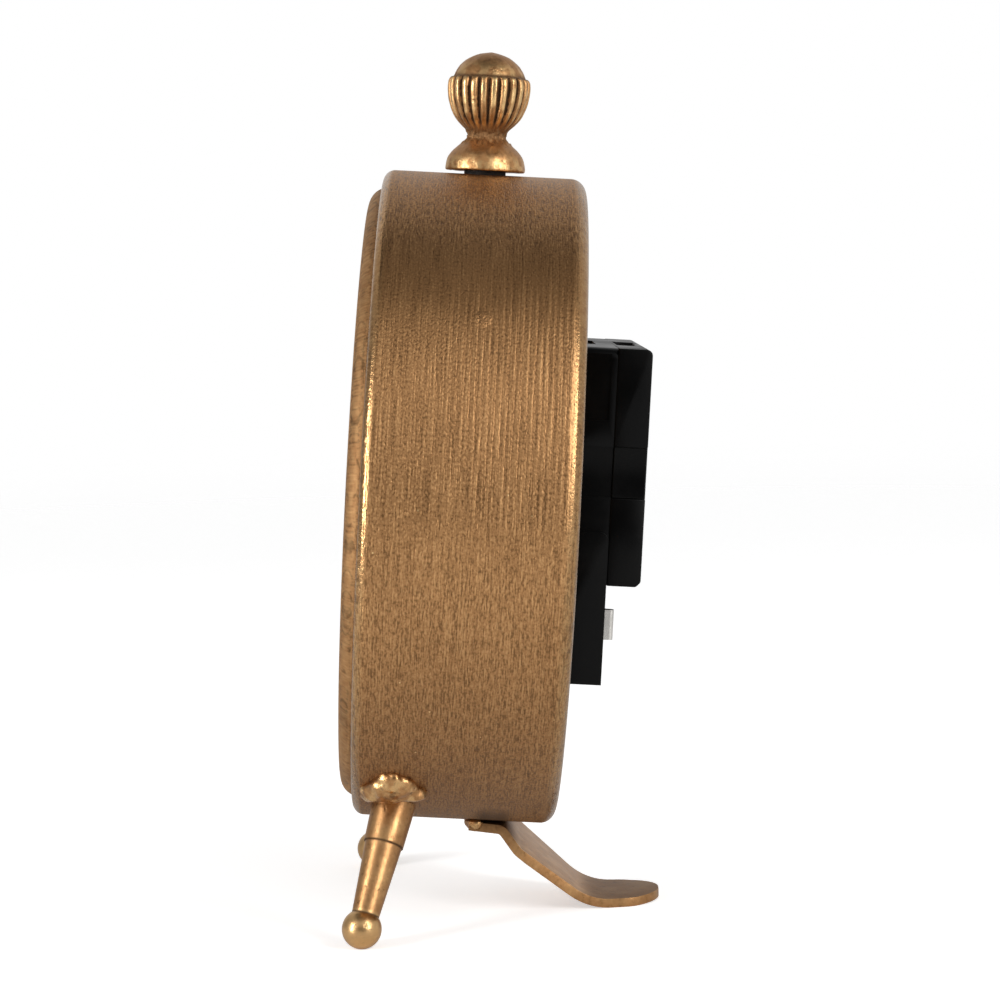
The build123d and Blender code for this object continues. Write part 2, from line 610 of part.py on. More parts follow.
def make_finial():
    base = FINIAL_FOOT_Z
    edge = (FINIAL_BASE_RADIUS, base + FINIAL_BASE_EDGE)
    shoulder = (FINIAL_SHOULDER_RADIUS, base + FINIAL_SHOULDER_RISE)
    neck = (FINIAL_NECK_RADIUS, base + FINIAL_NECK_RISE)
    belly = (FINIAL_BELLY_RADIUS, base + FINIAL_BELLY_RISE)
    rim = (FINIAL_RIM_RADIUS, base + FINIAL_RIM_RISE)
    cap = (FINIAL_CAP_RADIUS, base + FINIAL_RIM_RISE + FINIAL_CAP_STEP)
    top = (0, base + FINIAL_HEIGHT)
    cap_rise = top[1] - cap[1]
    cap_sphere = (FINIAL_CAP_RADIUS**2 + cap_rise**2) / (2 * cap_rise)
    outline = [
        Line((0, base), (FINIAL_BASE_RADIUS, base)),
        Line((FINIAL_BASE_RADIUS, base), edge),
        Line(edge, shoulder),
        Line(shoulder, neck),
        ThreePointArc(neck, belly, rim),
        Line(rim, cap),
        RadiusArc(cap, top, -cap_sphere),
        Line(top, (0, base)),
    ]
    body = revolve(Plane.XZ * make_face(outline), Axis.Z)
    bore = Pos(0, 0, base) * Cylinder(
        STUD_RADIUS + SEAT_FIT, STUD_SET + SEAT_FIT, align=(Align.CENTER, Align.CENTER, Align.MIN)
    )
    flute_turn = 360 / FLUTE_COUNT
    flute = revolve(finial_band(FLUTE_DEPTH, OVERRUN), Axis.Z, flute_turn * FLUTE_WIDTH_share)
    flutes = [Rot(0, 0, flute_turn * step) * flute for step in range(FLUTE_COUNT)]
    return Pos(0, FINIAL_SET, 0) * (body - bore - flutes)


def upright(radius, low, high):
    """A round upright on the finial's axis."""
    shape = Cylinder(radius, high - low, align=(Align.CENTER, Align.CENTER, Align.MIN))
    return Pos(0, FINIAL_SET, low) * shape


def make_finial_washer():
    body = upright(FINIAL_WASHER_RADIUS, DRUM_RADIUS - OVERRUN, FINIAL_FOOT_Z)
    hole = upright(STUD_RADIUS + SEAT_FIT, DRUM_RADIUS - OVERRUN, FINIAL_FOOT_Z)
    return body - hole - drum_core()


STUD_NUT_TOP = math.sqrt(DRUM_INNER_RADIUS**2 - (STUD_NUT_FLATS / 2) ** 2)


def make_finial_stud():
    return upright(STUD_RADIUS, STUD_NUT_TOP - STUD_NUT - STUD_END, FINIAL_FOOT_Z + STUD_SET)


def make_finial_nut():
    hexagon = RegularPolygon(STUD_NUT_FLATS / 2, 6, major_radius=False)
    body = Pos(0, FINIAL_SET, STUD_NUT_TOP - STUD_NUT) * extrude(hexagon, amount=STUD_NUT)
    return body - upright(STUD_RADIUS, STUD_NUT_TOP - STUD_NUT - OVERRUN, FINIAL_FOOT_Z)


# Front legs, one on each side
def leg_plane(side):
    down = Vector(side * LEG_DOWN.X, LEG_DOWN.Y, LEG_DOWN.Z)
    return Plane(origin=(side * LEG_SPREAD, LEG_SET, LEG_ROOT_Z), z_dir=down)


def leg_cone(side, start, end, start_radius, end_radius):
    shape = Cone(start_radius, end_radius, end - start, align=(Align.CENTER, Align.CENTER, Align.MIN))
    return leg_plane(side) * Pos(0, 0, start) * shape


def leg_rod(side, start, end, radius):
    shape = Cylinder(radius, end - start, align=(Align.CENTER, Align.CENTER, Align.MIN))
    return leg_plane(side) * Pos(0, 0, start) * shape


def ball_solid(side, radius):
    return Pos(side * BALL_AT.X, BALL_AT.Y, BALL_AT.Z) * Sphere(radius)


def sleeve_body(side):
    """The sleeve run up into the drum, at its own taper."""
    rise = SLEEVE_TOP_RADIUS * 2
    grown = SLEEVE_TOP_RADIUS + (SLEEVE_TOP_RADIUS - SLEEVE_END_RADIUS) * rise / SLEEVE_LENGTH
    return leg_cone(side, -rise, SLEEVE_LENGTH, grown, SLEEVE_END_RADIUS)


def make_sleeve(side):
    bore = leg_rod(side, SLEEVE_LENGTH - SHANK_PIN - SEAT_FIT, SLEEVE_LENGTH, SHANK_PIN_RADIUS + SEAT_FIT)
    return sleeve_body(side) - drum_core() - bore


def make_shank(side):
    taper = leg_cone(side, SLEEVE_LENGTH, LEG_LENGTH, SHANK_TOP_RADIUS, SHANK_END_RADIUS)
    pin = leg_rod(side, SLEEVE_LENGTH - SHANK_PIN, SLEEVE_LENGTH, SHANK_PIN_RADIUS)
    tenon = leg_rod(side, LEG_LENGTH - BALL_RADIUS * 2, LEG_LENGTH - BALL_RADIUS + BALL_PIN, BALL_PIN_RADIUS)
    return taper - ball_solid(side, BALL_RADIUS) + pin + tenon


def make_ball(side):
    """The ball foot, flat where it stands on the floor."""
    mortise_end = LEG_LENGTH - BALL_RADIUS + BALL_PIN + SEAT_FIT
    mortise = leg_rod(side, LEG_LENGTH - BALL_RADIUS * 2, mortise_end, BALL_PIN_RADIUS + SEAT_FIT)
    ball = CASE_PLACE * (ball_solid(side, BALL_RADIUS) - mortise)
    reach = BALL_RADIUS * 2
    at = case_point(side * BALL_AT.X, BALL_AT.Y, BALL_AT.Z)
    floor = Pos(at.X, at.Y, 0) * Box(reach, reach, reach, align=(Align.CENTER, Align.CENTER, Align.MAX))
    return ball - floor


def make_leg_braze(side):
    """Lumps of braze in a ring where the sleeve meets the drum, and a run of it up the drum's outer side."""
    ring_radius = SLEEVE_TOP_RADIUS + LEG_LUMP_OUT
    lumps = []
    for place, share in enumerate(leg_lump_shares):
        angle = 2 * math.pi * place / len(leg_lump_shares)
        local = Vector(ring_radius * math.cos(angle), ring_radius * math.sin(angle), 0)
        point = leg_plane(side).from_local_coords(local)
        lift = DRUM_RADIUS / math.hypot(point.X, point.Z)
        lumps.append(Pos(point.X * lift, point.Y, point.Z * lift) * Sphere(LEG_LUMP_RADIUS * share))
    root_turn = math.atan2(LEG_SPREAD, -LEG_ROOT_Z)
    for round_share, along_share, share in leg_run_shares:
        turn = root_turn + round_share * ring_radius / DRUM_RADIUS
        across = side * DRUM_RADIUS * math.sin(turn)
        along = LEG_SET + along_share * ring_radius
        lumps.append(Pos(across, along, -DRUM_RADIUS * math.cos(turn)) * Sphere(LEG_LUMP_RADIUS * share))
    ring = lumps[0] + lumps[1:]
    return ring - drum_core() - sleeve_body(side)


# Rear foot
def foot_strip():
    places = (FOOT_LIP, FOOT_KNEE, FOOT_STEP, FOOT_HEEL, FOOT_TOE, FOOT_TIP)
    points = [(0, depth - BOX_MIDDLE, height) for depth, height in places]
    bends = [FOOT_KNEE_BEND, FOOT_DROP_BEND, FOOT_PAD_BEND, FOOT_TIP_BEND]
    return bent_strip(points, bends, (1, 0, 0), FOOT_WIDTH, FOOT_SHEET)


def make_rear_foot():
    """The bent strip, trimmed to its round tip and to the drum's skin."""
    tip_y = FOOT_TIP[0] - BOX_MIDDLE
    round_y = tip_y - FOOT_TIP_WIDTH / 2
    ramp_run = FOOT_HEEL[0] - FOOT_STEP[0]
    taper_y, waist_y = [FOOT_STEP[0] + ramp_run * share - BOX_MIDDLE for share in foot_taper_shares]
    lip_y = FOOT_LIP[0] - BOX_MIDDLE - FOOT_WIDTH
    half = FOOT_WIDTH / 2
    waist_half = FOOT_WAIST_WIDTH / 2
    tip_half = FOOT_TIP_WIDTH / 2
    right = [(half, lip_y), (half, taper_y), (waist_half, waist_y), (tip_half, round_y)]
    left = [(-across, depth) for across, depth in reversed(right)]
    plan = make_face(Polyline(*right, *left, close=True)) + Pos(0, round_y) * Circle(tip_half)
    return foot_strip() & extrude(plan, amount=AXIS_HEIGHT) - CASE_PLACE * drum_core()


def make_foot_braze():
    """A row of braze lumps along the strip's front lip."""
    lumps = []
    for place in range(FOOT_LUMP_COUNT):
        across = (FOOT_WIDTH - FOOT_LUMP_RADIUS) * (place / (FOOT_LUMP_COUNT - 1) - 1 / 2)
        drop = math.sqrt(DRUM_RADIUS**2 - across**2)
        swell = 1 + math.sin(place * math.pi * 2 / 3) / 8
        set_at = FOOT_LIP_SET - FOOT_LUMP_RADIUS / 2
        lumps.append(Pos(across, set_at, -drop) * Sphere(FOOT_LUMP_RADIUS * swell))
    row = lumps[0] + lumps[1:]
    return CASE_PLACE * (row - drum_core()) - foot_strip()


# Movement's front case, back cover and fixings
def side_cuts(half, depth, low, high, front_y, rear_y):
    """Shallow recesses on both sides of the movement."""
    reach = HALF_WIDTH + OVERRUN
    right = block((half - depth, low), (reach, high), front_y, rear_y)
    return [right, right.mirror(Plane.YZ)]


def make_front_case():
    upper_sketch = RectangleRounded(FRONT_CASE_HALF * 2, MOVEMENT_WIDTH, MOVEMENT_CORNER)
    upper = slab(upper_sketch, FACE_Y, PARTING_Y)
    tray = block((-HALF_WIDTH, -HALF_WIDTH), (HALF_WIDTH, TRAY_SHOULDER - HALF_WIDTH), FACE_Y, PARTING_Y)
    shoulder = tray.edges().filter_by(Axis.X).sort_by(Axis.Y).group_by(Axis.Z)[-1].sort_by(Axis.Y)[-1]
    tray = fillet([shoulder], TRAY_ROUND)
    cavity = block((-CAVITY_HALF, CAVITY_LOW), (CAVITY_HALF, CAVITY_TOP), WALL_Y, PARTING_Y + OVERRUN)
    tray_end = HALF_WIDTH - TRAY_END_WALL
    tray_floor = MOVEMENT_WALL - HALF_WIDTH
    cell_bay = block((-tray_end, tray_floor), (tray_end, TRAY_TOP), WALL_Y, PARTING_Y + OVERRUN)
    hanger_low = HALF_WIDTH - HANGER_RECESS
    hanger_rear = PARTING_Y - HANGER_MARGIN * 2
    hanger = block(
        (-HANGER_WIDTH / 2, hanger_low), (HANGER_WIDTH / 2, HALF_WIDTH + OVERRUN), FACE_Y + HANGER_MARGIN, hanger_rear
    )
    bands = side_cuts(FRONT_CASE_HALF, BAND_RECESS, BAND_LOW, BAND_HIGH, FACE_Y - OVERRUN, PARTING_Y + OVERRUN)
    panels = side_cuts(
        FRONT_CASE_HALF, PANEL_RECESS, PANEL_LOW, HALF_WIDTH - PANEL_MARGIN, FACE_Y - OVERRUN, PARTING_Y - PANEL_MARGIN
    )
    bush_hole = disc(BUSH_RADIUS, FACE_Y - OVERRUN, WALL_Y + OVERRUN)
    case = upper + tray - cavity - cell_bay - hanger - bands - panels - bush_hole
    for at in BRIDGE_POSTS:
        case += disc(POST_RADIUS, WALL_Y, BRIDGE_Y, at)
        case += disc(POST_PIN_RADIUS, WALL_Y, BRIDGE_REAR_Y, at)
    for at in (CORE_LEFT, CORE_RIGHT):
        case += disc(POST_RADIUS, WALL_Y, CORE_Y, at)
    for at in circuit_posts():
        case += disc(POST_RADIUS, WALL_Y, CIRCUIT_Y, at)
    case += disc(MINUTE_POST_RADIUS, WALL_Y, MINUTE_LEVEL_Y + WHEEL_THICKNESS + PINION_OVERLAP, MINUTE_AT)
    pivots = (THIRD_AT, IDLER_AT, ROTOR_AT, SETTING_AT)
    return case - [disc(ARBOR_RADIUS + RUN_FIT, ARBOR_FRONT_Y - RUN_FIT, WALL_Y, at) for at in pivots]


def make_back_cover():
    body = block((-COVER_HALF, TRAY_TOP), (COVER_HALF, HALF_WIDTH), PARTING_Y, REAR_Y)
    rear_edges = body.edges().filter_by(Axis.X).group_by(Axis.Y)[-1].sort_by(Axis.Z)
    body = chamfer([rear_edges[0]], COVER_FOOT_CHAMFER)
    top_edge = body.edges().filter_by(Axis.X).group_by(Axis.Z)[-1].sort_by(Axis.Y)[-1]
    body = fillet([top_edge], COVER_TOP_ROUND)
    cavity = block(
        (-CAVITY_HALF, CAVITY_LOW), (CAVITY_HALF, CAVITY_TOP), PARTING_Y - OVERRUN, REAR_Y - MOVEMENT_WALL
    )
    bands = side_cuts(COVER_HALF, BAND_RECESS, BAND_LOW, BAND_HIGH, PARTING_Y - OVERRUN, REAR_Y + OVERRUN)
    hanger = block(
        (-HANGER_WIDTH / 2, HALF_WIDTH - HANGER_RECESS),
        (HANGER_WIDTH / 2, HALF_WIDTH + OVERRUN),
        PARTING_Y + HANGER_MARGIN / 2,
        REAR_Y - HANGER_MARGIN,
    )
    knob_hole = disc(KNOB_RADIUS + KNOB_ROOM, PARTING_Y, REAR_Y + OVERRUN, SETTING_AT)
    return body - cavity - bands - hanger - knob_hole


def make_bush():
    sleeve = washer(BUSH_RADIUS, HOUR_PIPE_RADIUS + RUN_FIT, BUSH_FRONT_Y, WALL_Y)
    flange = washer(BUSH_FLANGE_RADIUS, HOUR_PIPE_RADIUS + RUN_FIT, FACE_Y - BUSH_FLANGE, FACE_Y)
    return sleeve + flange


def make_rubber_washer():
    return washer(RUBBER_RADIUS, BUSH_FLANGE_RADIUS + SEAT_FIT, BOARD_REAR_Y, FACE_Y)


def make_brass_washer():
    return washer(WASHER_RADIUS, BUSH_RADIUS + SEAT_FIT, WASHER_FRONT_Y, DIAL_FRONT_Y)


def make_hex_nut():
    hexagon = RegularPolygon(NUT_FLATS / 2, 6, major_radius=False)
    return slab(hexagon - Circle(BUSH_RADIUS), NUT_FRONT_Y, WASHER_FRONT_Y)


# Movement's fixed inner pieces
def circuit_posts():
    low = (CIRCUIT_LOW[0] + CIRCUIT_POST_MARGIN, CIRCUIT_LOW[1] + CIRCUIT_POST_MARGIN)
    high = (CIRCUIT_HIGH[0] - CIRCUIT_POST_MARGIN, CIRCUIT_HIGH[1] - CIRCUIT_POST_MARGIN)
    return (low, high)


def make_bridge():
    middle = ((BRIDGE_RIGHT - BRIDGE_LEFT) / 2, (BRIDGE_HIGH - BRIDGE_LOW) / 2)
    sketch = Pos(*middle) * RectangleRounded(
        BRIDGE_LEFT + BRIDGE_RIGHT, BRIDGE_LOW + BRIDGE_HIGH, BRIDGE_CORNER
    )
    plate = slab(sketch, BRIDGE_Y, BRIDGE_REAR_Y)
    pivots = (CENTRE_AT, THIRD_AT, IDLER_AT, ROTOR_AT)
    holes = [disc(ARBOR_RADIUS + RUN_FIT, BRIDGE_Y - OVERRUN, BRIDGE_REAR_Y + OVERRUN, at) for at in pivots]
    pins = [
        disc(POST_PIN_RADIUS + SEAT_FIT, BRIDGE_Y - OVERRUN, BRIDGE_REAR_Y + OVERRUN, at) for at in BRIDGE_POSTS
    ]
    room = disc(KNOB_SHAFT_RADIUS * 2, BRIDGE_Y - OVERRUN, BRIDGE_REAR_Y + OVERRUN, SETTING_AT)
    return plate - holes - pins - room


def make_core():
    return bar(CORE_LEFT, CORE_RIGHT, CORE_WIDTH, CORE_Y, STATOR_Y)


def make_stator():
    rim = ROTOR_RADIUS + STATOR_AIR_GAP + STATOR_RIM
    rear_y = STATOR_Y + STATOR_THICKNESS
    plate = disc(rim, STATOR_Y, rear_y, ROTOR_AT)
    for end in (CORE_LEFT, CORE_RIGHT):
        knee = (end[0], end[1] - STATOR_KNEE_DROP)
        plate += bar(ROTOR_AT, knee, STATOR_ARM, STATOR_Y, rear_y)
        plate += bar(knee, end, STATOR_ARM, STATOR_Y, rear_y)
    return plate - disc(ROTOR_RADIUS + STATOR_AIR_GAP, STATOR_Y - OVERRUN, rear_y + OVERRUN, ROTOR_AT)


def coil_round(radius, length):
    """A round along the coil's axis, about the middle of the core."""
    middle_x = (CORE_LEFT[0] + CORE_RIGHT[0]) / 2
    middle = Pos(middle_x, CORE_Y + CORE_THICKNESS / 2, CORE_LEFT[1])
    return middle * Rot(0, 90, 0) * Cylinder(radius, length)


def make_bobbin():
    tube_radius = CORE_WIDTH / 2 + SEAT_FIT + BOBBIN_WALL
    middle_gap = BOBBIN_LENGTH - BOBBIN_FLANGE * 2
    groove = coil_round(BOBBIN_FLANGE_RADIUS * 2, middle_gap) - coil_round(tube_radius, BOBBIN_LENGTH)
    half_length = BOBBIN_LENGTH / 2 + OVERRUN
    middle_x = (CORE_LEFT[0] + CORE_RIGHT[0]) / 2
    half_slot = CORE_WIDTH / 2 + SEAT_FIT
    slot = block(
        (middle_x - half_length, CORE_LEFT[1] - half_slot),
        (middle_x + half_length, CORE_LEFT[1] + half_slot),
        CORE_Y - SEAT_FIT,
        STATOR_Y + SEAT_FIT,
    )
    return coil_round(BOBBIN_FLANGE_RADIUS, BOBBIN_LENGTH) - groove - slot


def make_winding():
    tube_radius = CORE_WIDTH / 2 + SEAT_FIT + BOBBIN_WALL
    length = BOBBIN_LENGTH - BOBBIN_FLANGE * 2
    return coil_round(WINDING_RADIUS, length) - coil_round(tube_radius, BOBBIN_LENGTH)


def make_circuit():
    return block(CIRCUIT_LOW, CIRCUIT_HIGH, CIRCUIT_Y, CIRCUIT_Y + CIRCUIT_THICKNESS)


CIRCUIT_MIDDLE = ((CIRCUIT_LOW[0] + CIRCUIT_HIGH[0]) / 2, (CIRCUIT_LOW[1] + CIRCUIT_HIGH[1]) / 2)
CIRCUIT_REAR_Y = CIRCUIT_Y + CIRCUIT_THICKNESS


def make_chip():
    square = Pos(*CIRCUIT_MIDDLE) * RectangleRounded(CHIP_SIZE, CHIP_SIZE, CHIP_SIZE * chip_corner_share)
    return slab(square, CIRCUIT_REAR_Y, CIRCUIT_REAR_Y + CHIP_THICKNESS)


def make_crystal():
    """The crystal's can, lying on the circuit board with a flat under it."""
    low = CIRCUIT_LOW[1] + CRYSTAL_DROP
    can = Pos(CIRCUIT_MIDDLE[0], CIRCUIT_REAR_Y + CRYSTAL_RADIUS * crystal_sunk_share, low) * Rot(0, 90, 0)
    can = can * Cylinder(CRYSTAL_RADIUS, CRYSTAL_LENGTH)
    board = block(CIRCUIT_LOW, CIRCUIT_HIGH, CIRCUIT_Y, CIRCUIT_REAR_Y)
    return can - board


def make_contact(side):
    """A folded strip on the tray's end wall, with a leaf that bulges towards the cell."""
    wall_x = HALF_WIDTH - TRAY_END_WALL - CONTACT_SHEET / 2
    fold_x = wall_x - CONTACT_FOLD
    top_y = PARTING_Y + CONTACT_PROUD - CONTACT_SHEET / 2
    middle_z = (TRAY_TOP + MOVEMENT_WALL - HALF_WIDTH) / 2 + CONTACT_DROP
    places = [
        (wall_x, WALL_Y),
        (wall_x, top_y),
        (fold_x, top_y),
        (fold_x - CONTACT_BULGE, top_y - CONTACT_LEAF / 2),
        (fold_x, top_y - CONTACT_LEAF),
    ]
    points = [(side * across, depth, middle_z) for across, depth in places]
    bends = [CONTACT_FOLD_BEND, CONTACT_FOLD_BEND, CONTACT_BULGE_BEND]
    return bent_strip(points, bends, (0, 0, 1), CONTACT_WIDTH, CONTACT_SHEET)


# Going train, from the rotor to the centre wheel
def arbor(at):
    return disc(ARBOR_RADIUS, ARBOR_FRONT_Y, ARBOR_REAR_Y, at)


SECOND_PHASE = 0.0
IDLER_PINION_PHASE = mesh_phase(SECOND_PHASE, SECOND_TEETH, IDLER_PINION_TEETH, IDLER_DIRECTION)
IDLER_PHASE = 0.0
ROTOR_PHASE = mesh_phase(IDLER_PHASE, IDLER_TEETH, ROTOR_TEETH, ROTOR_DIRECTION)
THIRD_PHASE = mesh_phase(SECOND_PHASE, SECOND_PINION_TEETH, THIRD_TEETH, THIRD_DIRECTION)
THIRD_PINION_PHASE = 0.0
CENTRE_PHASE = mesh_phase(THIRD_PINION_PHASE, THIRD_PINION_TEETH, CENTRE_TEETH, THIRD_DIRECTION + 180)
CANNON_PHASE = 0.0
MINUTE_PHASE = mesh_phase(CANNON_PHASE, CANNON_TEETH, MINUTE_TEETH, MINUTE_DIRECTION)
MINUTE_PINION_PHASE = 0.0
HOUR_PHASE = mesh_phase(MINUTE_PINION_PHASE, MINUTE_PINION_TEETH, HOUR_TEETH, MINUTE_DIRECTION + 180)
SETTING_PHASE = mesh_phase(MINUTE_PHASE, MINUTE_TEETH, SETTING_TEETH, SETTING_DIRECTION)


def make_rotor():
    teeth = gear_sketch(ROTOR_TEETH, ROTOR_DISTANCE, IDLER_TEETH, ROTOR_PHASE)
    magnet = disc(ROTOR_RADIUS, ROTOR_LEVEL_Y, ROTOR_LEVEL_Y + ROTOR_THICKNESS, ROTOR_AT)
    return arbor(ROTOR_AT) + pinion(teeth, ROTOR_AT, IDLER_LEVEL_Y) + magnet


def make_idler_wheel():
    teeth = gear_sketch(IDLER_TEETH, ROTOR_DISTANCE, ROTOR_TEETH, IDLER_PHASE)
    leaves = gear_sketch(IDLER_PINION_TEETH, TRAIN_DISTANCE, SECOND_TEETH, IDLER_PINION_PHASE)
    body = wheel(teeth, IDLER_AT, IDLER_LEVEL_Y) + pinion(leaves, IDLER_AT, SECOND_LEVEL_Y)
    return arbor(IDLER_AT) + body


def make_second_wheel():
    """The second wheel, its pinion and the long arbor that carries the second hand."""
    teeth = gear_sketch(SECOND_TEETH, TRAIN_DISTANCE, IDLER_PINION_TEETH, SECOND_PHASE)
    leaves = gear_sketch(SECOND_PINION_TEETH, TRAIN_DISTANCE, THIRD_TEETH, SECOND_PHASE)
    body = wheel(teeth, CENTRE_AT, SECOND_LEVEL_Y) + pinion(leaves, CENTRE_AT, THIRD_LEVEL_Y)
    return disc(SECOND_ARBOR_RADIUS, SECOND_ARBOR_Y, ARBOR_REAR_Y) + body


def make_third_wheel():
    teeth = gear_sketch(THIRD_TEETH, TRAIN_DISTANCE, SECOND_PINION_TEETH, THIRD_PHASE)
    leaves = gear_sketch(THIRD_PINION_TEETH, TRAIN_DISTANCE, CENTRE_TEETH, THIRD_PINION_PHASE)
    body = wheel(teeth, THIRD_AT, THIRD_LEVEL_Y) + pinion(leaves, THIRD_AT, CENTRE_LEVEL_Y)
    return arbor(THIRD_AT) + body


def make_centre_wheel():
    """The centre wheel, which turns the minute pipe through a slipping clutch."""
    teeth = gear_sketch(CENTRE_TEETH, TRAIN_DISTANCE, THIRD_PINION_TEETH, CENTRE_PHASE)
    bore = disc(MINUTE_REAR_RADIUS + RUN_FIT, CENTRE_LEVEL_Y - OVERRUN, SECOND_LEVEL_Y)
    return wheel(teeth, CENTRE_AT, CENTRE_LEVEL_Y) - bore


# Motion work, from the minute pipe to the hour wheel, and the knob that sets it
def make_minute_pipe():
    leaves = gear_sketch(CANNON_TEETH, MOTION_DISTANCE, MINUTE_TEETH, CANNON_PHASE)
    rear_y = CENTRE_LEVEL_Y + WHEEL_THICKNESS + PINION_OVERLAP
    body = disc(MINUTE_PIPE_RADIUS, MINUTE_PIPE_Y, MINUTE_LEVEL_Y)
    body += pinion(leaves, CENTRE_AT, MINUTE_LEVEL_Y)
    body += disc(MINUTE_REAR_RADIUS, MINUTE_LEVEL_Y, rear_y)
    return body - disc(SECOND_ARBOR_RADIUS + RUN_FIT, MINUTE_PIPE_Y - OVERRUN, rear_y + OVERRUN)


def make_minute_wheel():
    teeth = gear_sketch(MINUTE_TEETH, MOTION_DISTANCE, CANNON_TEETH, MINUTE_PHASE)
    leaves = gear_sketch(MINUTE_PINION_TEETH, MOTION_DISTANCE, HOUR_TEETH, MINUTE_PINION_PHASE)
    body = wheel(teeth, MINUTE_AT, MINUTE_LEVEL_Y)
    body += slab(Pos(*MINUTE_AT) * leaves, HOUR_LEVEL_Y - PINION_OVERLAP, MINUTE_LEVEL_Y)
    return body - disc(MINUTE_POST_RADIUS + RUN_FIT, WALL_Y, CENTRE_LEVEL_Y, MINUTE_AT)


def make_hour_wheel():
    teeth = gear_sketch(HOUR_TEETH, MOTION_DISTANCE, MINUTE_PINION_TEETH, HOUR_PHASE)
    body = wheel(teeth, CENTRE_AT, HOUR_LEVEL_Y) + disc(HOUR_PIPE_RADIUS, HOUR_PIPE_Y, HOUR_LEVEL_Y)
    return body - disc(MINUTE_PIPE_RADIUS + RUN_FIT, HOUR_PIPE_Y - OVERRUN, MINUTE_LEVEL_Y)


def make_setting_knob():
    """The ribbed thumb wheel at the back, its shaft and the pinion that turns the minute wheel."""
    leaves = gear_sketch(SETTING_TEETH, MOTION_DISTANCE, MINUTE_TEETH, SETTING_PHASE)
    flange_rear = REAR_Y - MOVEMENT_WALL - KNOB_INSET
    flange = disc(KNOB_FLANGE_RADIUS, flange_rear - KNOB_FLANGE, flange_rear, SETTING_AT)
    grip = disc(KNOB_RADIUS, flange_rear, REAR_Y - KNOB_INSET, SETTING_AT)
    for rib in range(KNOB_RIBS):
        at = polar(SETTING_AT, KNOB_RADIUS, 360 * rib / KNOB_RIBS)
        grip -= disc(KNOB_RIB_RADIUS, flange_rear + KNOB_INSET, REAR_Y, at)
    shaft = disc(KNOB_SHAFT_RADIUS, MINUTE_LEVEL_Y, flange_rear, SETTING_AT)
    pivot = disc(ARBOR_RADIUS, ARBOR_FRONT_Y, MINUTE_LEVEL_Y, SETTING_AT)
    return shaft + pinion(leaves, SETTING_AT, MINUTE_LEVEL_Y) + pivot + flange + grip


# Hands
def hand_collet(shaft_radius, shaft_front_y):
    """The ring that pushes on to a shaft, behind the hand's blade."""
    front_y = shaft_front_y + HAND_END_SET
    return washer(shaft_radius + HAND_COLLET_WALL, shaft_radius, front_y, front_y + HAND_COLLET)


def hand_blade(sketch, shaft_radius, shaft_front_y, clock_angle):
    front_y = shaft_front_y + HAND_END_SET
    blade = slab(Rot(0, 0, -clock_angle) * sketch, front_y, front_y + HAND_SHEET)
    return blade - disc(shaft_radius, front_y - OVERRUN, front_y + HAND_COLLET)


def spade_sketch(length, width, tail):
    """A spade hand that points up: a tapered stem, a round boss near its end and a long tip."""
    boss_share = 0.68
    boss_at = length * boss_share
    half = width / 2
    neck = half / 2
    stem = Polyline((-half, -tail), (half, -tail), (half, 0), (neck, boss_at), (-neck, boss_at), (-half, 0), close=True)
    tip_low = boss_at + width / 2
    tip = Polyline((-width, tip_low), (0, boss_at), (width, tip_low), (0, length), close=True)
    return make_face(stem) + make_face(tip) + Pos(0, boss_at) * Circle(width)


def make_hour_hand():
    sketch = spade_sketch(HOUR_HAND_LENGTH, HOUR_HAND_WIDTH, HOUR_HAND_TAIL)
    sketch += Circle(HOUR_PIPE_RADIUS + HAND_COLLET_WALL)
    blade = hand_blade(sketch, HOUR_PIPE_RADIUS, HOUR_PIPE_Y, HOUR_HAND_AT)
    return blade + hand_collet(HOUR_PIPE_RADIUS, HOUR_PIPE_Y)


def make_minute_hand():
    sketch = spade_sketch(MINUTE_HAND_LENGTH, MINUTE_HAND_WIDTH, MINUTE_HAND_TAIL)
    sketch += Circle(MINUTE_PIPE_RADIUS + HAND_COLLET_WALL)
    blade = hand_blade(sketch, MINUTE_PIPE_RADIUS, MINUTE_PIPE_Y, MINUTE_HAND_AT)
    return blade + hand_collet(MINUTE_PIPE_RADIUS, MINUTE_PIPE_Y)


def make_second_hand():
    half = SECOND_HAND_WIDTH / 2
    point = half / 2
    outline = Polyline(
        (-half, -SECOND_HAND_TAIL),
        (half, -SECOND_HAND_TAIL),
        (half, 0),
        (point, SECOND_HAND_LENGTH),
        (-point, SECOND_HAND_LENGTH),
        (-half, 0),
        close=True,
    )
    counterweight = Pos(0, -SECOND_HAND_TAIL * 3 / 4) * Circle(SECOND_HAND_WIDTH * 2)
    sketch = make_face(outline) + counterweight + Circle(SECOND_ARBOR_RADIUS + HAND_COLLET_WALL)
    blade = hand_blade(sketch, SECOND_ARBOR_RADIUS, SECOND_ARBOR_Y, SECOND_HAND_AT)
    return blade + hand_collet(SECOND_ARBOR_RADIUS, SECOND_ARBOR_Y)


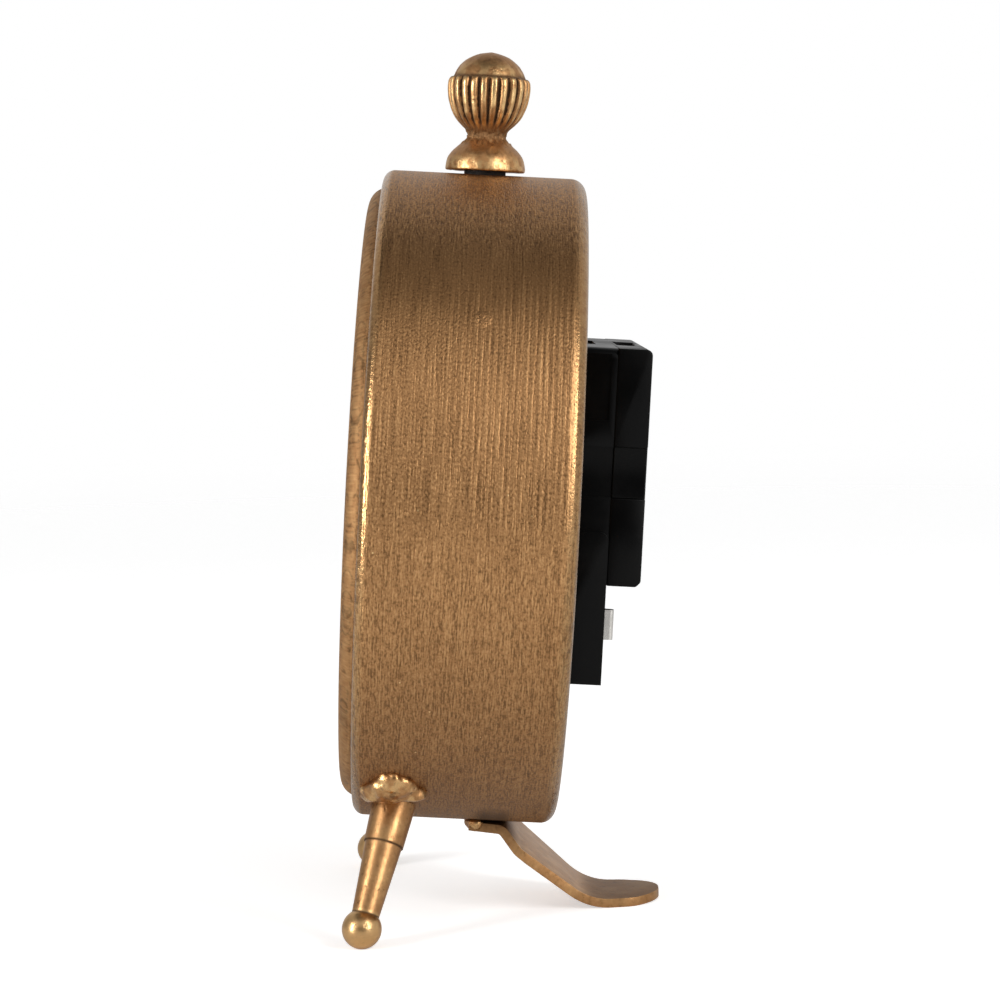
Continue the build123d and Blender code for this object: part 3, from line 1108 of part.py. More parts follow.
# Every node: pieces of the case frame first, then the pieces that are made on the floor
CASE_PIECES = {
    "case_drum": make_drum(),
    "bezel_ring": make_bezel(),
    "glass_lens": make_glass(),
    "glass_retaining_ring": make_retaining_ring(),
    "mounting_tabs": Compound(children=[make_tab(angle) for angle in TAB_ANGLES]),
    "board_screws": Compound(children=[make_screw(angle) for angle in TAB_ANGLES]),
    "dial_board": make_board(),
    "dial_face": make_dial(),
    "finial": make_finial(),
    "finial_washer": make_finial_washer(),
    "finial_stud": make_finial_stud(),
    "finial_nut": make_finial_nut(),
    "movement_front_case": make_front_case(),
    "movement_back_cover": make_back_cover(),
    "threaded_bush": make_bush(),
    "rubber_washer": make_rubber_washer(),
    "brass_washer": make_brass_washer(),
    "hex_nut": make_hex_nut(),
    "train_bridge": make_bridge(),
    "coil_core": make_core(),
    "coil_bobbin": make_bobbin(),
    "coil_winding": make_winding(),
    "stator_plate": make_stator(),
    "circuit_board": make_circuit(),
    "timing_chip": make_chip(),
    "quartz_crystal": make_crystal(),
    "contact_positive": make_contact(1),
    "contact_negative": make_contact(-1),
    "rotor": make_rotor(),
    "idler_wheel": make_idler_wheel(),
    "second_wheel": make_second_wheel(),
    "third_wheel": make_third_wheel(),
    "centre_wheel": make_centre_wheel(),
    "minute_pipe": make_minute_pipe(),
    "minute_wheel": make_minute_wheel(),
    "hour_wheel": make_hour_wheel(),
    "setting_knob": make_setting_knob(),
    "hour_hand": make_hour_hand(),
    "minute_hand": make_minute_hand(),
    "second_hand": make_second_hand(),
}
for side, name in ((1, "right"), (-1, "left")):
    CASE_PIECES["leg_sleeve_" + name] = make_sleeve(side)
    CASE_PIECES["leg_shank_" + name] = make_shank(side)
    CASE_PIECES["leg_braze_" + name] = make_leg_braze(side)

PIECES = {node: CASE_PLACE * piece for node, piece in CASE_PIECES.items()}
for side, name in ((1, "right"), (-1, "left")):
    PIECES["foot_ball_" + name] = make_ball(side)
PIECES["rear_foot"] = make_rear_foot()
PIECES["rear_foot_braze"] = make_foot_braze()

os.makedirs("parts", exist_ok=True)
for node, piece in PIECES.items():
    export_step(piece, f"parts/{node}.step")
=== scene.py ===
import math

import bmesh
import bpy
from mathutils import Matrix, Vector


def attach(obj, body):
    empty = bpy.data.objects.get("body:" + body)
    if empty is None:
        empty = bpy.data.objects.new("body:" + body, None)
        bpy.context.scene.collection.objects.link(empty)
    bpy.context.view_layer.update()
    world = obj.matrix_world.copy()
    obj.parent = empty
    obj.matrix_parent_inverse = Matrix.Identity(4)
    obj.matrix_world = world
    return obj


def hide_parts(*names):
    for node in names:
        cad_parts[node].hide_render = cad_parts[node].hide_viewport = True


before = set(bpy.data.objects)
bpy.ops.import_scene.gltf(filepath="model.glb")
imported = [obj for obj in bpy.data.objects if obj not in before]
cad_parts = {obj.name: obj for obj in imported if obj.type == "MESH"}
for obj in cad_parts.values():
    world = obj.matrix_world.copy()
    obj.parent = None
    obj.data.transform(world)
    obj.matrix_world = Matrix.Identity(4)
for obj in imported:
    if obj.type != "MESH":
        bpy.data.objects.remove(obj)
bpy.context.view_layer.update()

# Case drum. A band of sheet iron rolled into a drum, with both edges turned in and the joint underneath.
# It is lacquered in antique gold and rubbed round by hand, so hair lines follow the band. The lacquer
# stays brown where it is thick, and bare gold shows on both turned edges. Three spot welds mark it.
case_place = Vector((0.0, -0.020789, 0.073020))
case_lean = math.radians(-4.3)
drum_radius = 0.056
drum_front = -0.0007
drum_rear = 0.0341
drum_front_round = 0.0019
drum_rear_round = 0.0026
weld_along = 0.0173
weld_angles = (math.radians(55.0), math.radians(-55.0), math.radians(180.0))
weld_radius = 0.0017
gold_bright = (0.62, 0.36, 0.16, 1.0)
gold_mid = (0.455, 0.240, 0.100, 1.0)
gold_deep = (0.41, 0.213, 0.088, 1.0)
gold_rubbed = (0.84, 0.56, 0.26, 1.0)
# The darkest gold, for soil and for painted shade
gold_soil_and_shade = (0.050, 0.025, 0.011, 1.0)

# A noise is given by its scale, octaves and sometimes roughness, and limits are the pair a value fades between
noise_middle = 0.5
noise_swing = (0.3, 0.7)
plain_noise = (1.0, 1.0)
line_noise = (1.0, 2.0)
band_noise = (1.0, 3.0)
wear_grain = (900.0, 3.0)
mark_names = ("Fine", "Broad", "Strokes")
squared = 2.0


def grey(value):
    """A colour without hue."""
    return (value, value, value, 1.0)


def feed(tree, socket, value):
    """Links a socket to another node's output, or sets it to a plain value."""
    if isinstance(value, bpy.types.NodeSocket):
        tree.links.new(value, socket)
    else:
        socket.default_value = value


def calc(tree, operation, *values):
    """The output of a Math node."""
    node = tree.nodes.new("ShaderNodeMath")
    node.operation = operation
    for socket, value in zip(node.inputs, values):
        feed(tree, socket, value)
    return node.outputs[0]


def times(tree, first, second):
    """The product of two values."""
    return calc(tree, "MULTIPLY", first, second)


def span(tree, value, low, high, first=0.0, last=1.0):
    """A value that goes smoothly from first to last while another goes from low to high."""
    node = tree.nodes.new("ShaderNodeMapRange")
    node.interpolation_type = "SMOOTHSTEP"
    for socket, given in zip(node.inputs, (value, low, high, first, last)):
        feed(tree, socket, given)
    return node.outputs[0]


def within(tree, value, start, end):
    """One where a value is past its start limits and not yet past its end limits."""
    return times(tree, span(tree, value, *start), span(tree, value, *end))


def strongest(tree, pattern, *others):
    """The strongest of several patterns, where each one after the first has a share."""
    for other, share in others:
        pattern = calc(tree, "MAXIMUM", pattern, times(tree, other, share))
    return pattern


def distance(tree, first, second):
    """The length of a slanting line from its two legs."""
    squares = [calc(tree, "POWER", leg, squared) for leg in (first, second)]
    return calc(tree, "SQRT", calc(tree, "ADD", *squares))


def blend(tree, share, first, second):
    """A colour between two colours."""
    node = tree.nodes.new("ShaderNodeMix")
    node.data_type = "RGBA"
    feed(tree, node.inputs["Factor"], share)
    feed(tree, node.inputs["A"], first)
    feed(tree, node.inputs["B"], second)
    return node.outputs["Result"]


def spot(tree, x, y, z):
    """A vector from three values."""
    node = tree.nodes.new("ShaderNodeCombineXYZ")
    for socket, value in zip(node.inputs, (x, y, z)):
        feed(tree, socket, value)
    return node.outputs[0]


def parted(tree, vector):
    """The three values of a vector."""
    node = tree.nodes.new("ShaderNodeSeparateXYZ")
    feed(tree, node.inputs[0], vector)
    return node.outputs


def leaned(tree, place, origin):
    """The three values of a place, measured from an origin in a frame that leans with the case."""
    node = tree.nodes.new("ShaderNodeMapping")
    node.vector_type = "TEXTURE"
    node.inputs["Location"].default_value = origin
    node.inputs["Rotation"].default_value = (case_lean, 0.0, 0.0)
    feed(tree, node.inputs["Vector"], place)
    return parted(tree, node.outputs[0])


def grain(tree, vector, scale, detail, roughness=0.5):
    """The value of a noise texture at a vector."""
    node = tree.nodes.new("ShaderNodeTexNoise")
    feed(tree, node.inputs["Vector"], vector)
    node.inputs["Scale"].default_value = scale
    node.inputs["Detail"].default_value = detail
    node.inputs["Roughness"].default_value = roughness
    return node.outputs["Fac"]


def patchy(tree, place, noise, limits):
    """Patches where a noise passes its limits."""
    return span(tree, grain(tree, place, *noise), *limits)


def stretched(tree, across, run, pitch, draw, layer=0.0):
    """A place for noise that is drawn out along a run."""
    return spot(tree, times(tree, across, pitch), times(tree, run, draw), layer)


def values(*names):
    """Names of number sockets, for a group."""
    return [(name, "NodeSocketFloat") for name in names]


def start_group(name, inputs, outputs):
    """A shader node group with named sockets, its input node's outputs and its output node's inputs."""
    tree = bpy.data.node_groups.new(name, "ShaderNodeTree")
    for socket, kind in inputs:
        tree.interface.new_socket(socket, in_out="INPUT", socket_type=kind)
    for socket, kind in outputs:
        tree.interface.new_socket(socket, in_out="OUTPUT", socket_type=kind)
    return tree, tree.nodes.new("NodeGroupInput").outputs, tree.nodes.new("NodeGroupOutput").inputs


def place_group(tree, group, **settings):
    """A group set into a material, and its outputs."""
    node = tree.nodes.new("ShaderNodeGroup")
    node.node_tree = group
    for name, value in settings.items():
        feed(tree, node.inputs[name], value)
    return node.outputs


def start_material(name):
    """A material's tree, its shader's inputs and the Object coordinates."""
    material = bpy.data.materials.new(name)
    material.use_nodes = True
    tree = material.node_tree
    surface = tree.nodes["Principled BSDF"].inputs
    place = tree.nodes.new("ShaderNodeTexCoord").outputs["Object"]
    return material, tree, surface, place


def roughen(tree, surface, height, depth):
    """Raises a surface's normal by a height pattern whose full depth is given in metres."""
    node = tree.nodes.new("ShaderNodeBump")
    node.inputs["Distance"].default_value = depth
    feed(tree, node.inputs["Height"], height)
    feed(tree, surface["Normal"], node.outputs["Normal"])


def dress(material, *names):
    """Gives CAD nodes their finish."""
    for name in names:
        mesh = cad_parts[name].data
        mesh.materials.clear()
        mesh.materials.append(material)


# Lengths along and round the drum, measured from the case frame's origin and from its top
wrap_group, given, result = start_group(
    "drum_wrap", [("Place", "NodeSocketVector")], values("Along", "Round", "Radius", "Rise")
)
across, along, rise = leaned(wrap_group, given["Place"], case_place)
turn = calc(wrap_group, "ARCTAN2", across, rise)
feed(wrap_group, result["Along"], along)
feed(wrap_group, result["Round"], times(wrap_group, turn, drum_radius))
feed(wrap_group, result["Radius"], distance(wrap_group, across, rise))
feed(wrap_group, result["Rise"], rise)

# Marks that a rubbing pad leaves in lacquer: hair lines and grit, broad bands, and short dark strokes aslant
line_pitch = 3500.0
line_run = 90.0
grit_pitch = 3000.0
grit_run = 2100.0
band_pitch = 700.0
band_run = 40.0
stroke_pitch = 2900.0
stroke_run = 330.0
stroke_slants = (0.10, -0.16)
stroke_limits = (0.59, 0.71)
line_share = 1.05
grit_share = 1.15
brush_group, given, result = start_group("brush_marks", values("Across", "Run"), values(*mark_names))
across = given["Across"]
run = given["Run"]
lines = grain(brush_group, stretched(brush_group, across, run, line_pitch, line_run), *line_noise)
grit = grain(brush_group, stretched(brush_group, across, run, grit_pitch, grit_run), *plain_noise)
bands = grain(brush_group, stretched(brush_group, across, run, band_pitch, band_run), *band_noise)
fine = calc(brush_group, "MULTIPLY_ADD", lines, line_share, (1.0 - line_share - grit_share) / 2)
fine = calc(brush_group, "MULTIPLY_ADD", grit, grit_share, fine)
strokes = 0.0
for slant in stroke_slants:
    slid = calc(brush_group, "MULTIPLY_ADD", run, slant, across)
    stroke_place = stretched(brush_group, slid, run, stroke_pitch, stroke_run, slant)
    stroke = patchy(brush_group, stroke_place, plain_noise, stroke_limits)
    strokes = calc(brush_group, "MAXIMUM", strokes, stroke)
feed(brush_group, result["Fine"], fine)
feed(brush_group, result["Broad"], span(brush_group, bands, *noise_swing))
feed(brush_group, result["Strokes"], strokes)

# Antique gold lacquer: colour, roughness, metal and height from the marks in it, bare edges, and soil and
# painted shade
glint_limits = (0.5, 0.85)
glint_share = 0.75
shade_limits = (0.5, 0.2)
shade_share = 0.5
stroke_share = 0.5
soil_and_shade_share = 0.95
plain_dull = 0.36
fine_dull = 0.16
bare_dull = -0.14
soil_and_shade_dull = 0.25
stroke_height = -0.5
broad_height = 0.1
soil_and_shade_metal = -0.25
gold_group, given, result = start_group(
    "antique_gold",
    values(*mark_names, "Bare", "Soil", "Polish"),
    [("Color", "NodeSocketColor"), *values("Roughness", "Metallic", "Height")],
)
lacquer = blend(gold_group, given["Broad"], gold_deep, gold_mid)
glint = times(gold_group, span(gold_group, given["Fine"], *glint_limits), glint_share)
lacquer = blend(gold_group, glint, lacquer, gold_bright)
shade = times(gold_group, span(gold_group, given["Fine"], *shade_limits), shade_share)
lacquer = blend(gold_group, shade, lacquer, gold_soil_and_shade)
stroked = times(gold_group, given["Strokes"], stroke_share)
lacquer = blend(gold_group, stroked, lacquer, gold_soil_and_shade)
lacquer = blend(gold_group, given["Bare"], lacquer, gold_rubbed)
# This input brings both real soil and painted shade into the colour
soiled_and_shaded = times(gold_group, given["Soil"], soil_and_shade_share)
lacquer = blend(gold_group, soiled_and_shaded, lacquer, gold_soil_and_shade)
dull = calc(gold_group, "MULTIPLY_ADD", given["Fine"], fine_dull, plain_dull)
dull = calc(gold_group, "MULTIPLY_ADD", given["Bare"], bare_dull, dull)
dull = calc(gold_group, "MULTIPLY_ADD", given["Soil"], soil_and_shade_dull, dull)
dull = calc(gold_group, "SUBTRACT", dull, given["Polish"])
height = calc(gold_group, "MULTIPLY_ADD", given["Strokes"], stroke_height, given["Fine"])
height = calc(gold_group, "MULTIPLY_ADD", given["Broad"], broad_height, height)
feed(gold_group, result["Color"], lacquer)
feed(gold_group, result["Roughness"], dull)
feed(gold_group, result["Metallic"], calc(gold_group, "MULTIPLY_ADD", given["Soil"], soil_and_shade_metal, 1.0))
feed(gold_group, result["Height"], height)


def lay_gold(tree, surface, marks, bare, soil_and_shade, depth, relief=0.0, polish=0.0):
    """Lays antique gold on a surface; relief is a further height of the same depth."""
    shown = {name: marks[name] for name in mark_names}
    laid = place_group(tree, gold_group, **shown, Bare=bare, Soil=soil_and_shade, Polish=polish)
    feed(tree, surface["Base Color"], laid["Color"])
    feed(tree, surface["Roughness"], laid["Roughness"])
    feed(tree, surface["Metallic"], laid["Metallic"])
    roughen(tree, surface, calc(tree, "ADD", laid["Height"], relief), depth)


# Where the pad worked longest, at the crown and low on the sides, it left short hatching and dark strokes
crown_rise = (0.039, 0.048)
lower_rise = (0.010, -0.014)
lower_work = (0.1, 1.0)
hatch_pitch = 4200.0
hatch_run = 640.0
hatch_share = 1.4
worked_stroke_share = 0.6
drum_gold, tree, surface, place = start_material("drum_brushed_gold")
wrap = place_group(tree, wrap_group, Place=place)
marks = place_group(tree, brush_group, Across=wrap["Along"], Run=wrap["Round"])
lower = span(tree, wrap["Rise"], *lower_rise, *lower_work)
worked = calc(tree, "MAXIMUM", span(tree, wrap["Rise"], *crown_rise), lower)
hatch = grain(tree, stretched(tree, wrap["Along"], wrap["Round"], hatch_pitch, hatch_run), *plain_noise)
hatch = calc(tree, "SUBTRACT", hatch, noise_middle)
hatch = times(tree, hatch, times(tree, worked, hatch_share))
strokes = times(tree, worked, worked_stroke_share)
strokes = times(tree, marks["Strokes"], strokes)

# Ribs that the rolls left in the sheet, clearest high on the sides and away from the front; they also stripe
# the colour with painted light and shade
rib_pitch = 0.00103
rib_wander = 5.0
wander_pitch = 160.0
wander_run = 50.0
rib_shade = 0.06
rib_depth = 0.24
rib_top = (0.044, 0.030)
rib_low = (-0.012, 0.008)
rib_front = (0.006, 0.018)
rib_strength = (0.15, 1.0)
wander = grain(tree, stretched(tree, wrap["Along"], wrap["Round"], wander_pitch, wander_run), *line_noise)
wander = times(tree, wander, rib_wander)
ribs = calc(tree, "SINE", calc(tree, "MULTIPLY_ADD", wrap["Along"], math.tau / rib_pitch, wander))
ribs = times(tree, ribs, span(tree, wrap["Rise"], *rib_top))
ribs = times(tree, ribs, span(tree, wrap["Rise"], *rib_low, *rib_strength))
ribs = times(tree, ribs, span(tree, wrap["Along"], *rib_front, *rib_strength))

# The grit is finest in a belt below the crown and where the pad worked longest
calm_share = 0.4
worked_calm_share = 0.15
belt_start = (0.028, 0.036)
belt_end = (0.051, 0.045)
belt = within(tree, wrap["Rise"], belt_start, belt_end)
calm = strongest(tree, belt, (worked, worked_calm_share))
swing = calc(tree, "MULTIPLY_ADD", calm, -calm_share, 1.0)
fine = calc(tree, "SUBTRACT", marks["Fine"], noise_middle)
fine = calc(tree, "MULTIPLY_ADD", fine, swing, noise_middle)
fine = calc(tree, "MULTIPLY_ADD", ribs, rib_shade, calc(tree, "ADD", fine, hatch))

# Bare gold on the turned edges
edge_share = 0.4
edge_bare = (0.05, 0.3)
front_bend = drum_front + drum_front_round
rear_bend = drum_rear - drum_rear_round
front_edge = span(tree, wrap["Along"], front_bend, drum_front + drum_front_round * edge_share)
rear_edge = span(tree, wrap["Along"], rear_bend, drum_rear - drum_rear_round * edge_share)
edges = calc(tree, "MAXIMUM", front_edge, rear_edge)
bare = times(tree, edges, span(tree, grain(tree, place, *wear_grain), *noise_swing, *edge_bare))

# Pale dust, a few specks in the lacquer
dust_scale = 320.0
dust_reach = 0.05
dust_rare = 0.86
dust = tree.nodes.new("ShaderNodeTexVoronoi")
dust.inputs["Scale"].default_value = dust_scale
feed(tree, dust.inputs["Vector"], place)
dust_pick = tree.nodes.new("ShaderNodeSeparateColor")
feed(tree, dust_pick.inputs[0], dust.outputs["Color"])
specks = calc(tree, "LESS_THAN", dust.outputs["Distance"], dust_reach)
specks = times(tree, specks, calc(tree, "GREATER_THAN", dust_pick.outputs[0], dust_rare))
bare = calc(tree, "MAXIMUM", bare, specks)

# Spot welds, rough patches that the lacquer hides only in part
weld_share = 0.5
weld_grain = (2600.0, 2.0)
weld_depth = 3.0
weld = 0.0
for angle in weld_angles:
    aside = calc(tree, "SUBTRACT", wrap["Round"], angle * drum_radius)
    ahead = calc(tree, "SUBTRACT", wrap["Along"], weld_along)
    patch = span(tree, distance(tree, aside, ahead), weld_radius, weld_radius * weld_share)
    weld = calc(tree, "MAXIMUM", weld, patch)
weld_pits = times(tree, weld, grain(tree, place, *weld_grain))

# Two nicks in the lacquer, each a short dark scratch: along, round, turn from the drum's run, half length
nick_width = 0.00012
nick_list = ((0.0072, 0.0588, math.radians(62.0), 0.0012), (0.0227, 0.1223, math.radians(-40.0), 0.0017))
nicks = 0.0
for nick_along, nick_round, nick_turn, nick_reach in nick_list:
    ahead = calc(tree, "SUBTRACT", wrap["Along"], nick_along)
    aside = calc(tree, "SUBTRACT", wrap["Round"], nick_round)
    over = times(tree, ahead, math.cos(nick_turn))
    over = calc(tree, "ABSOLUTE", calc(tree, "MULTIPLY_ADD", aside, math.sin(nick_turn), over))
    down = times(tree, ahead, -math.sin(nick_turn))
    down = calc(tree, "ABSOLUTE", calc(tree, "MULTIPLY_ADD", aside, math.cos(nick_turn), down))
    nick = times(tree, span(tree, over, nick_width, 0.0), span(tree, down, nick_reach, 0.0))
    nicks = calc(tree, "MAXIMUM", nicks, nick)
strokes = calc(tree, "MAXIMUM", strokes, nicks)

# Drum darkening: faint smears of soil, a darker band on the upper sides, painted shade on the lower half and
# the rear edge, and painted contact shade above the strip foot's shelf
smear_grain = (60.0, 3.0)
smear_limits = (0.45, 0.75)
smear_soil = 0.1
# Painted shade darkens the drum towards its bottom
bottom_rise = (0.0, -0.060)
bottom_shade = (0.0, 0.44)
# Painted shade darkens the rear edge, in place of a darker reflection there
rear_edge_shade = 0.3
# A darker band on the upper sides
upper_start = (0.004, 0.016)
upper_end = (0.036, 0.028)
upper_band_darkening = 0.12
# Painted contact shade on the drum just above the strip foot's shelf
contact_shade_along = 0.0233
contact_shade_reach = (0.0055, 0.0015)
contact_shade_rise = (-0.0470, -0.0530)
contact_shade_share = 0.9
pit_limits = (0.5, 0.65)
pit_soil = 0.5
contact_shade_aside = calc(tree, "ABSOLUTE", calc(tree, "SUBTRACT", wrap["Along"], contact_shade_along))
contact_shade = times(tree, span(tree, contact_shade_aside, *contact_shade_reach), span(tree, wrap["Rise"], *contact_shade_rise))
soil_and_shade = strongest(
    tree,
    span(tree, wrap["Rise"], *bottom_rise, *bottom_shade),
    (patchy(tree, place, smear_grain, smear_limits), smear_soil),
    (rear_edge, rear_edge_shade),
    (within(tree, wrap["Rise"], upper_start, upper_end), upper_band_darkening),
    (contact_shade, contact_shade_share),
    (span(tree, weld_pits, *pit_limits), pit_soil),
)

# The lacquer's skin: orange peel that is deepest low down, the welds' pits and the ribs
peel_grain = (1600.0, 2.0)
peel_rise = (0.02, -0.03)
peel_depth = (0.2, 0.6)
edge_polish = 0.24
belt_polish = 0.03
drum_grain_depth = 0.00006
peel = span(tree, wrap["Rise"], *peel_rise, *peel_depth)
peel = times(tree, grain(tree, place, *peel_grain), peel)
relief = calc(tree, "MULTIPLY_ADD", weld_pits, weld_depth, peel)
relief = calc(tree, "MULTIPLY_ADD", ribs, rib_depth, relief)
polish = calc(tree, "MULTIPLY_ADD", belt, belt_polish, times(tree, edges, edge_polish))
drum_marks = {"Fine": fine, "Broad": marks["Broad"], "Strokes": strokes}
lay_gold(tree, surface, drum_marks, bare, soil_and_shade, drum_grain_depth, relief, polish)
dress(drum_gold, "case_drum")

# Bezel ring. Sheet pressed into a ring with a rolled shoulder and pushed into the drum's front opening, where
# it stands 3 mm proud. It has the drum's lacquer, rubbed round, barest along its shoulder, a little darker all
# over, and with painted shade at its root.
bezel_proud = 0.003
bezel_round = 0.0032
shoulder_share = 0.5
shoulder_bare = (0.0, 0.2)
root_shade_share = 0.35
darkening_and_root_shade_range = (0.26, 0.55)
bezel_grain_depth = 0.00003
bezel_polish = -0.14
bezel_gold, tree, surface, place = start_material("bezel_brushed_gold")
wrap = place_group(tree, wrap_group, Place=place)
slope = calc(tree, "SUBTRACT", wrap["Along"], wrap["Radius"])
marks = place_group(tree, brush_group, Across=slope, Run=wrap["Round"])
shoulder = span(tree, wrap["Along"], 0.0, -bezel_round * shoulder_share)
rubbing = span(tree, grain(tree, place, *wear_grain), *noise_swing, *shoulder_bare)
bare = times(tree, shoulder, rubbing)
# The bezel is a little darker all over, and painted shade deepens towards its root where it meets the drum
darkening_and_root_shade = span(tree, wrap["Along"], -bezel_proud * root_shade_share, 0.0, *darkening_and_root_shade_range)
lay_gold(tree, surface, marks, bare, darkening_and_root_shade, bezel_grain_depth, polish=bezel_polish)
dress(bezel_gold, "bezel_ring")

# Glass lens and its split ring. A flat pane of 2 mm float glass lies in the bezel's rolled shoulder, and a
# spring ring of zinc-plated strip, split at the bottom, is pushed in behind it.
glass_tint = (0.97, 0.99, 0.98, 1.0)
glass_index = 1.5
haze_grain = (45.0, 4.0)
haze_limits = (0.4, 0.75)
haze_dull = (0.0, 0.04)
lens_glass, tree, surface, place = start_material("lens_glass")
surface["Base Color"].default_value = glass_tint
surface["Transmission Weight"].default_value = 1.0
surface["IOR"].default_value = glass_index
feed(tree, surface["Roughness"], span(tree, grain(tree, place, *haze_grain), *haze_limits, *haze_dull))
dress(lens_glass, "glass_lens")


def two_tone(tree, surface, pattern, tones, dull, metal=0.0):
    """Gives a surface two tones and two degrees of dullness by one pattern."""
    feed(tree, surface["Base Color"], blend(tree, pattern, *tones))
    feed(tree, surface["Roughness"], span(tree, pattern, *noise_swing, *dull))
    surface["Metallic"].default_value = metal


zinc_tones = ((0.36, 0.36, 0.37, 1.0), (0.62, 0.63, 0.64, 1.0))
zinc_dull = (0.28, 0.46)
zinc_grain = (180.0, 4.0)
spangle_scale = 420.0
spangle_depth = 0.00001
zinc_plate, tree, surface, place = start_material("zinc_plate")
spangle = tree.nodes.new("ShaderNodeTexVoronoi")
spangle.inputs["Scale"].default_value = spangle_scale
feed(tree, spangle.inputs["Vector"], place)
two_tone(tree, surface, grain(tree, place, *zinc_grain), zinc_tones, zinc_dull, 1.0)
roughen(tree, surface, spangle.outputs["Distance"], spangle_depth)
dress(zinc_plate, "glass_retaining_ring", "mounting_tabs", "board_screws")

# Dial board. A 9 mm disc of brown fibreboard that carries the dial and the movement. It is screwed to three
# sheet tabs that are spot welded inside the drum.
board_tones = ((0.15, 0.082, 0.04, 1.0), (0.33, 0.20, 0.105, 1.0))
board_limits = (0.32, 0.68)
board_dull = (0.75, 0.92)
board_grain = (1400.0, 5.0, 0.7)
board_depth = 0.00012
board_fibre, tree, surface, place = start_material("fibreboard")
fibre = grain(tree, place, *board_grain)
feed(tree, surface["Base Color"], blend(tree, span(tree, fibre, *board_limits), *board_tones))
feed(tree, surface["Roughness"], span(tree, fibre, *noise_swing, *board_dull))
roughen(tree, surface, fibre, board_depth)
dress(board_fibre, "dial_board")

# Dial. Cream paper glued to the board, foxed towards its edge, printed in black with a minute track and twelve
# plain numerals. The front isn't seen in the photograph, so the print is a usual one for such a clock.
dial_front = 0.0195
dial_radius = 0.0519
paper_tones = ((0.80, 0.70, 0.52, 1.0), (0.52, 0.36, 0.19, 1.0))
paper_dull = (0.62, 0.8)
paper_grain = (2400.0, 3.0)
paper_depth = 0.00002
fox_share = 0.55
fox_age = (0.05, 0.6)
fox_grain = (90.0, 6.0, 0.65)
fox_limits = (0.35, 0.7)
dial_paper, tree, surface, place = start_material("dial_paper")
wrap = place_group(tree, wrap_group, Place=place)
age = span(tree, wrap["Radius"], dial_radius * fox_share, dial_radius, *fox_age)
stain = times(tree, age, patchy(tree, place, fox_grain, fox_limits))
pulp = grain(tree, place, *paper_grain)
feed(tree, surface["Base Color"], blend(tree, stain, *paper_tones))
feed(tree, surface["Roughness"], span(tree, pulp, *noise_swing, *paper_dull))
roughen(tree, surface, pulp, paper_depth)
dress(dial_paper, "dial_face")

ink_tones = ((0.012, 0.011, 0.010, 1.0), (0.06, 0.05, 0.04, 1.0))
ink_limits = (0.5, 0.8)
ink_dull = (0.55, 0.75)
ink_grain = (700.0, 4.0)
dial_ink, tree, surface, place = start_material("dial_ink")
ink_fade = grain(tree, place, *ink_grain)
feed(tree, surface["Base Color"], blend(tree, span(tree, ink_fade, *ink_limits), *ink_tones))
feed(tree, surface["Roughness"], span(tree, ink_fade, *noise_swing, *ink_dull))


def drop_selection():
    """Leaves nothing selected, so that an operator acts only on the piece that is made next."""
    bpy.ops.object.select_all(action="DESELECT")


def edit_all():
    """Opens the active piece for editing, with all of it selected."""
    bpy.ops.object.mode_set(mode="EDIT")
    bpy.ops.mesh.select_all(action="SELECT")


def edit_done():
    """Closes the piece that is open for editing."""
    bpy.ops.object.mode_set(mode="OBJECT")


def joined(pieces):
    """Several pieces made one."""
    drop_selection()
    for piece in pieces:
        piece.select_set(True)
    bpy.context.view_layer.objects.active = pieces[0]
    bpy.ops.object.join()
    return bpy.context.object


def add_modifier(piece, kind, **settings):
    """Adds a modifier with its settings and applies it."""
    bpy.ops.object.modifier_add(type=kind)
    modifier = piece.modifiers[-1]
    for setting, value in settings.items():
        setattr(modifier, setting, value)
    bpy.ops.object.modifier_apply(modifier=modifier.name)


def in_case(across, along, rise):
    """A point of the drum's own frame, along its axis from the front edge, in the part's frame."""
    return case_place + Matrix.Rotation(case_lean, 3, "X") @ Vector((across, along, rise))


def settle(piece, name, material, body):
    """Puts a finished piece's place into its mesh, names it, and lets it ride on a body."""
    drop_selection()
    piece.select_set(True)
    bpy.context.view_layer.objects.active = piece
    bpy.ops.object.transform_apply(location=True, rotation=True, scale=True)
    piece.name = name
    piece.data.name = name
    piece.data.materials.clear()
    piece.data.materials.append(material)
    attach(piece, body)


# Numerals, one for each hour
ink_lift = 0.00002
ink_depth = 0.00001
ink_front = dial_front - ink_lift
dial_turn = (math.pi / 2 + case_lean, 0.0, 0.0)
numeral_radius = 0.0383
numeral_size = 0.0098
hour_turn = math.radians(30.0)
numerals = []
for hour in range(1, 13):
    angle = hour * hour_turn
    drop_selection()
    bpy.ops.object.text_add(rotation=dial_turn)
    numeral = bpy.context.object
    numeral.data.body = str(hour)
    numeral.data.size = numeral_size
    numeral.data.extrude = ink_depth
    numeral.data.align_x = "CENTER"
    numeral.data.align_y = "CENTER"
    numeral.location = in_case(numeral_radius * math.sin(angle), ink_front, numeral_radius * math.cos(angle))
    bpy.ops.object.convert(target="MESH")
    numerals.append(bpy.context.object)
settle(joined(numerals), "dial_numerals", dial_ink, "case")

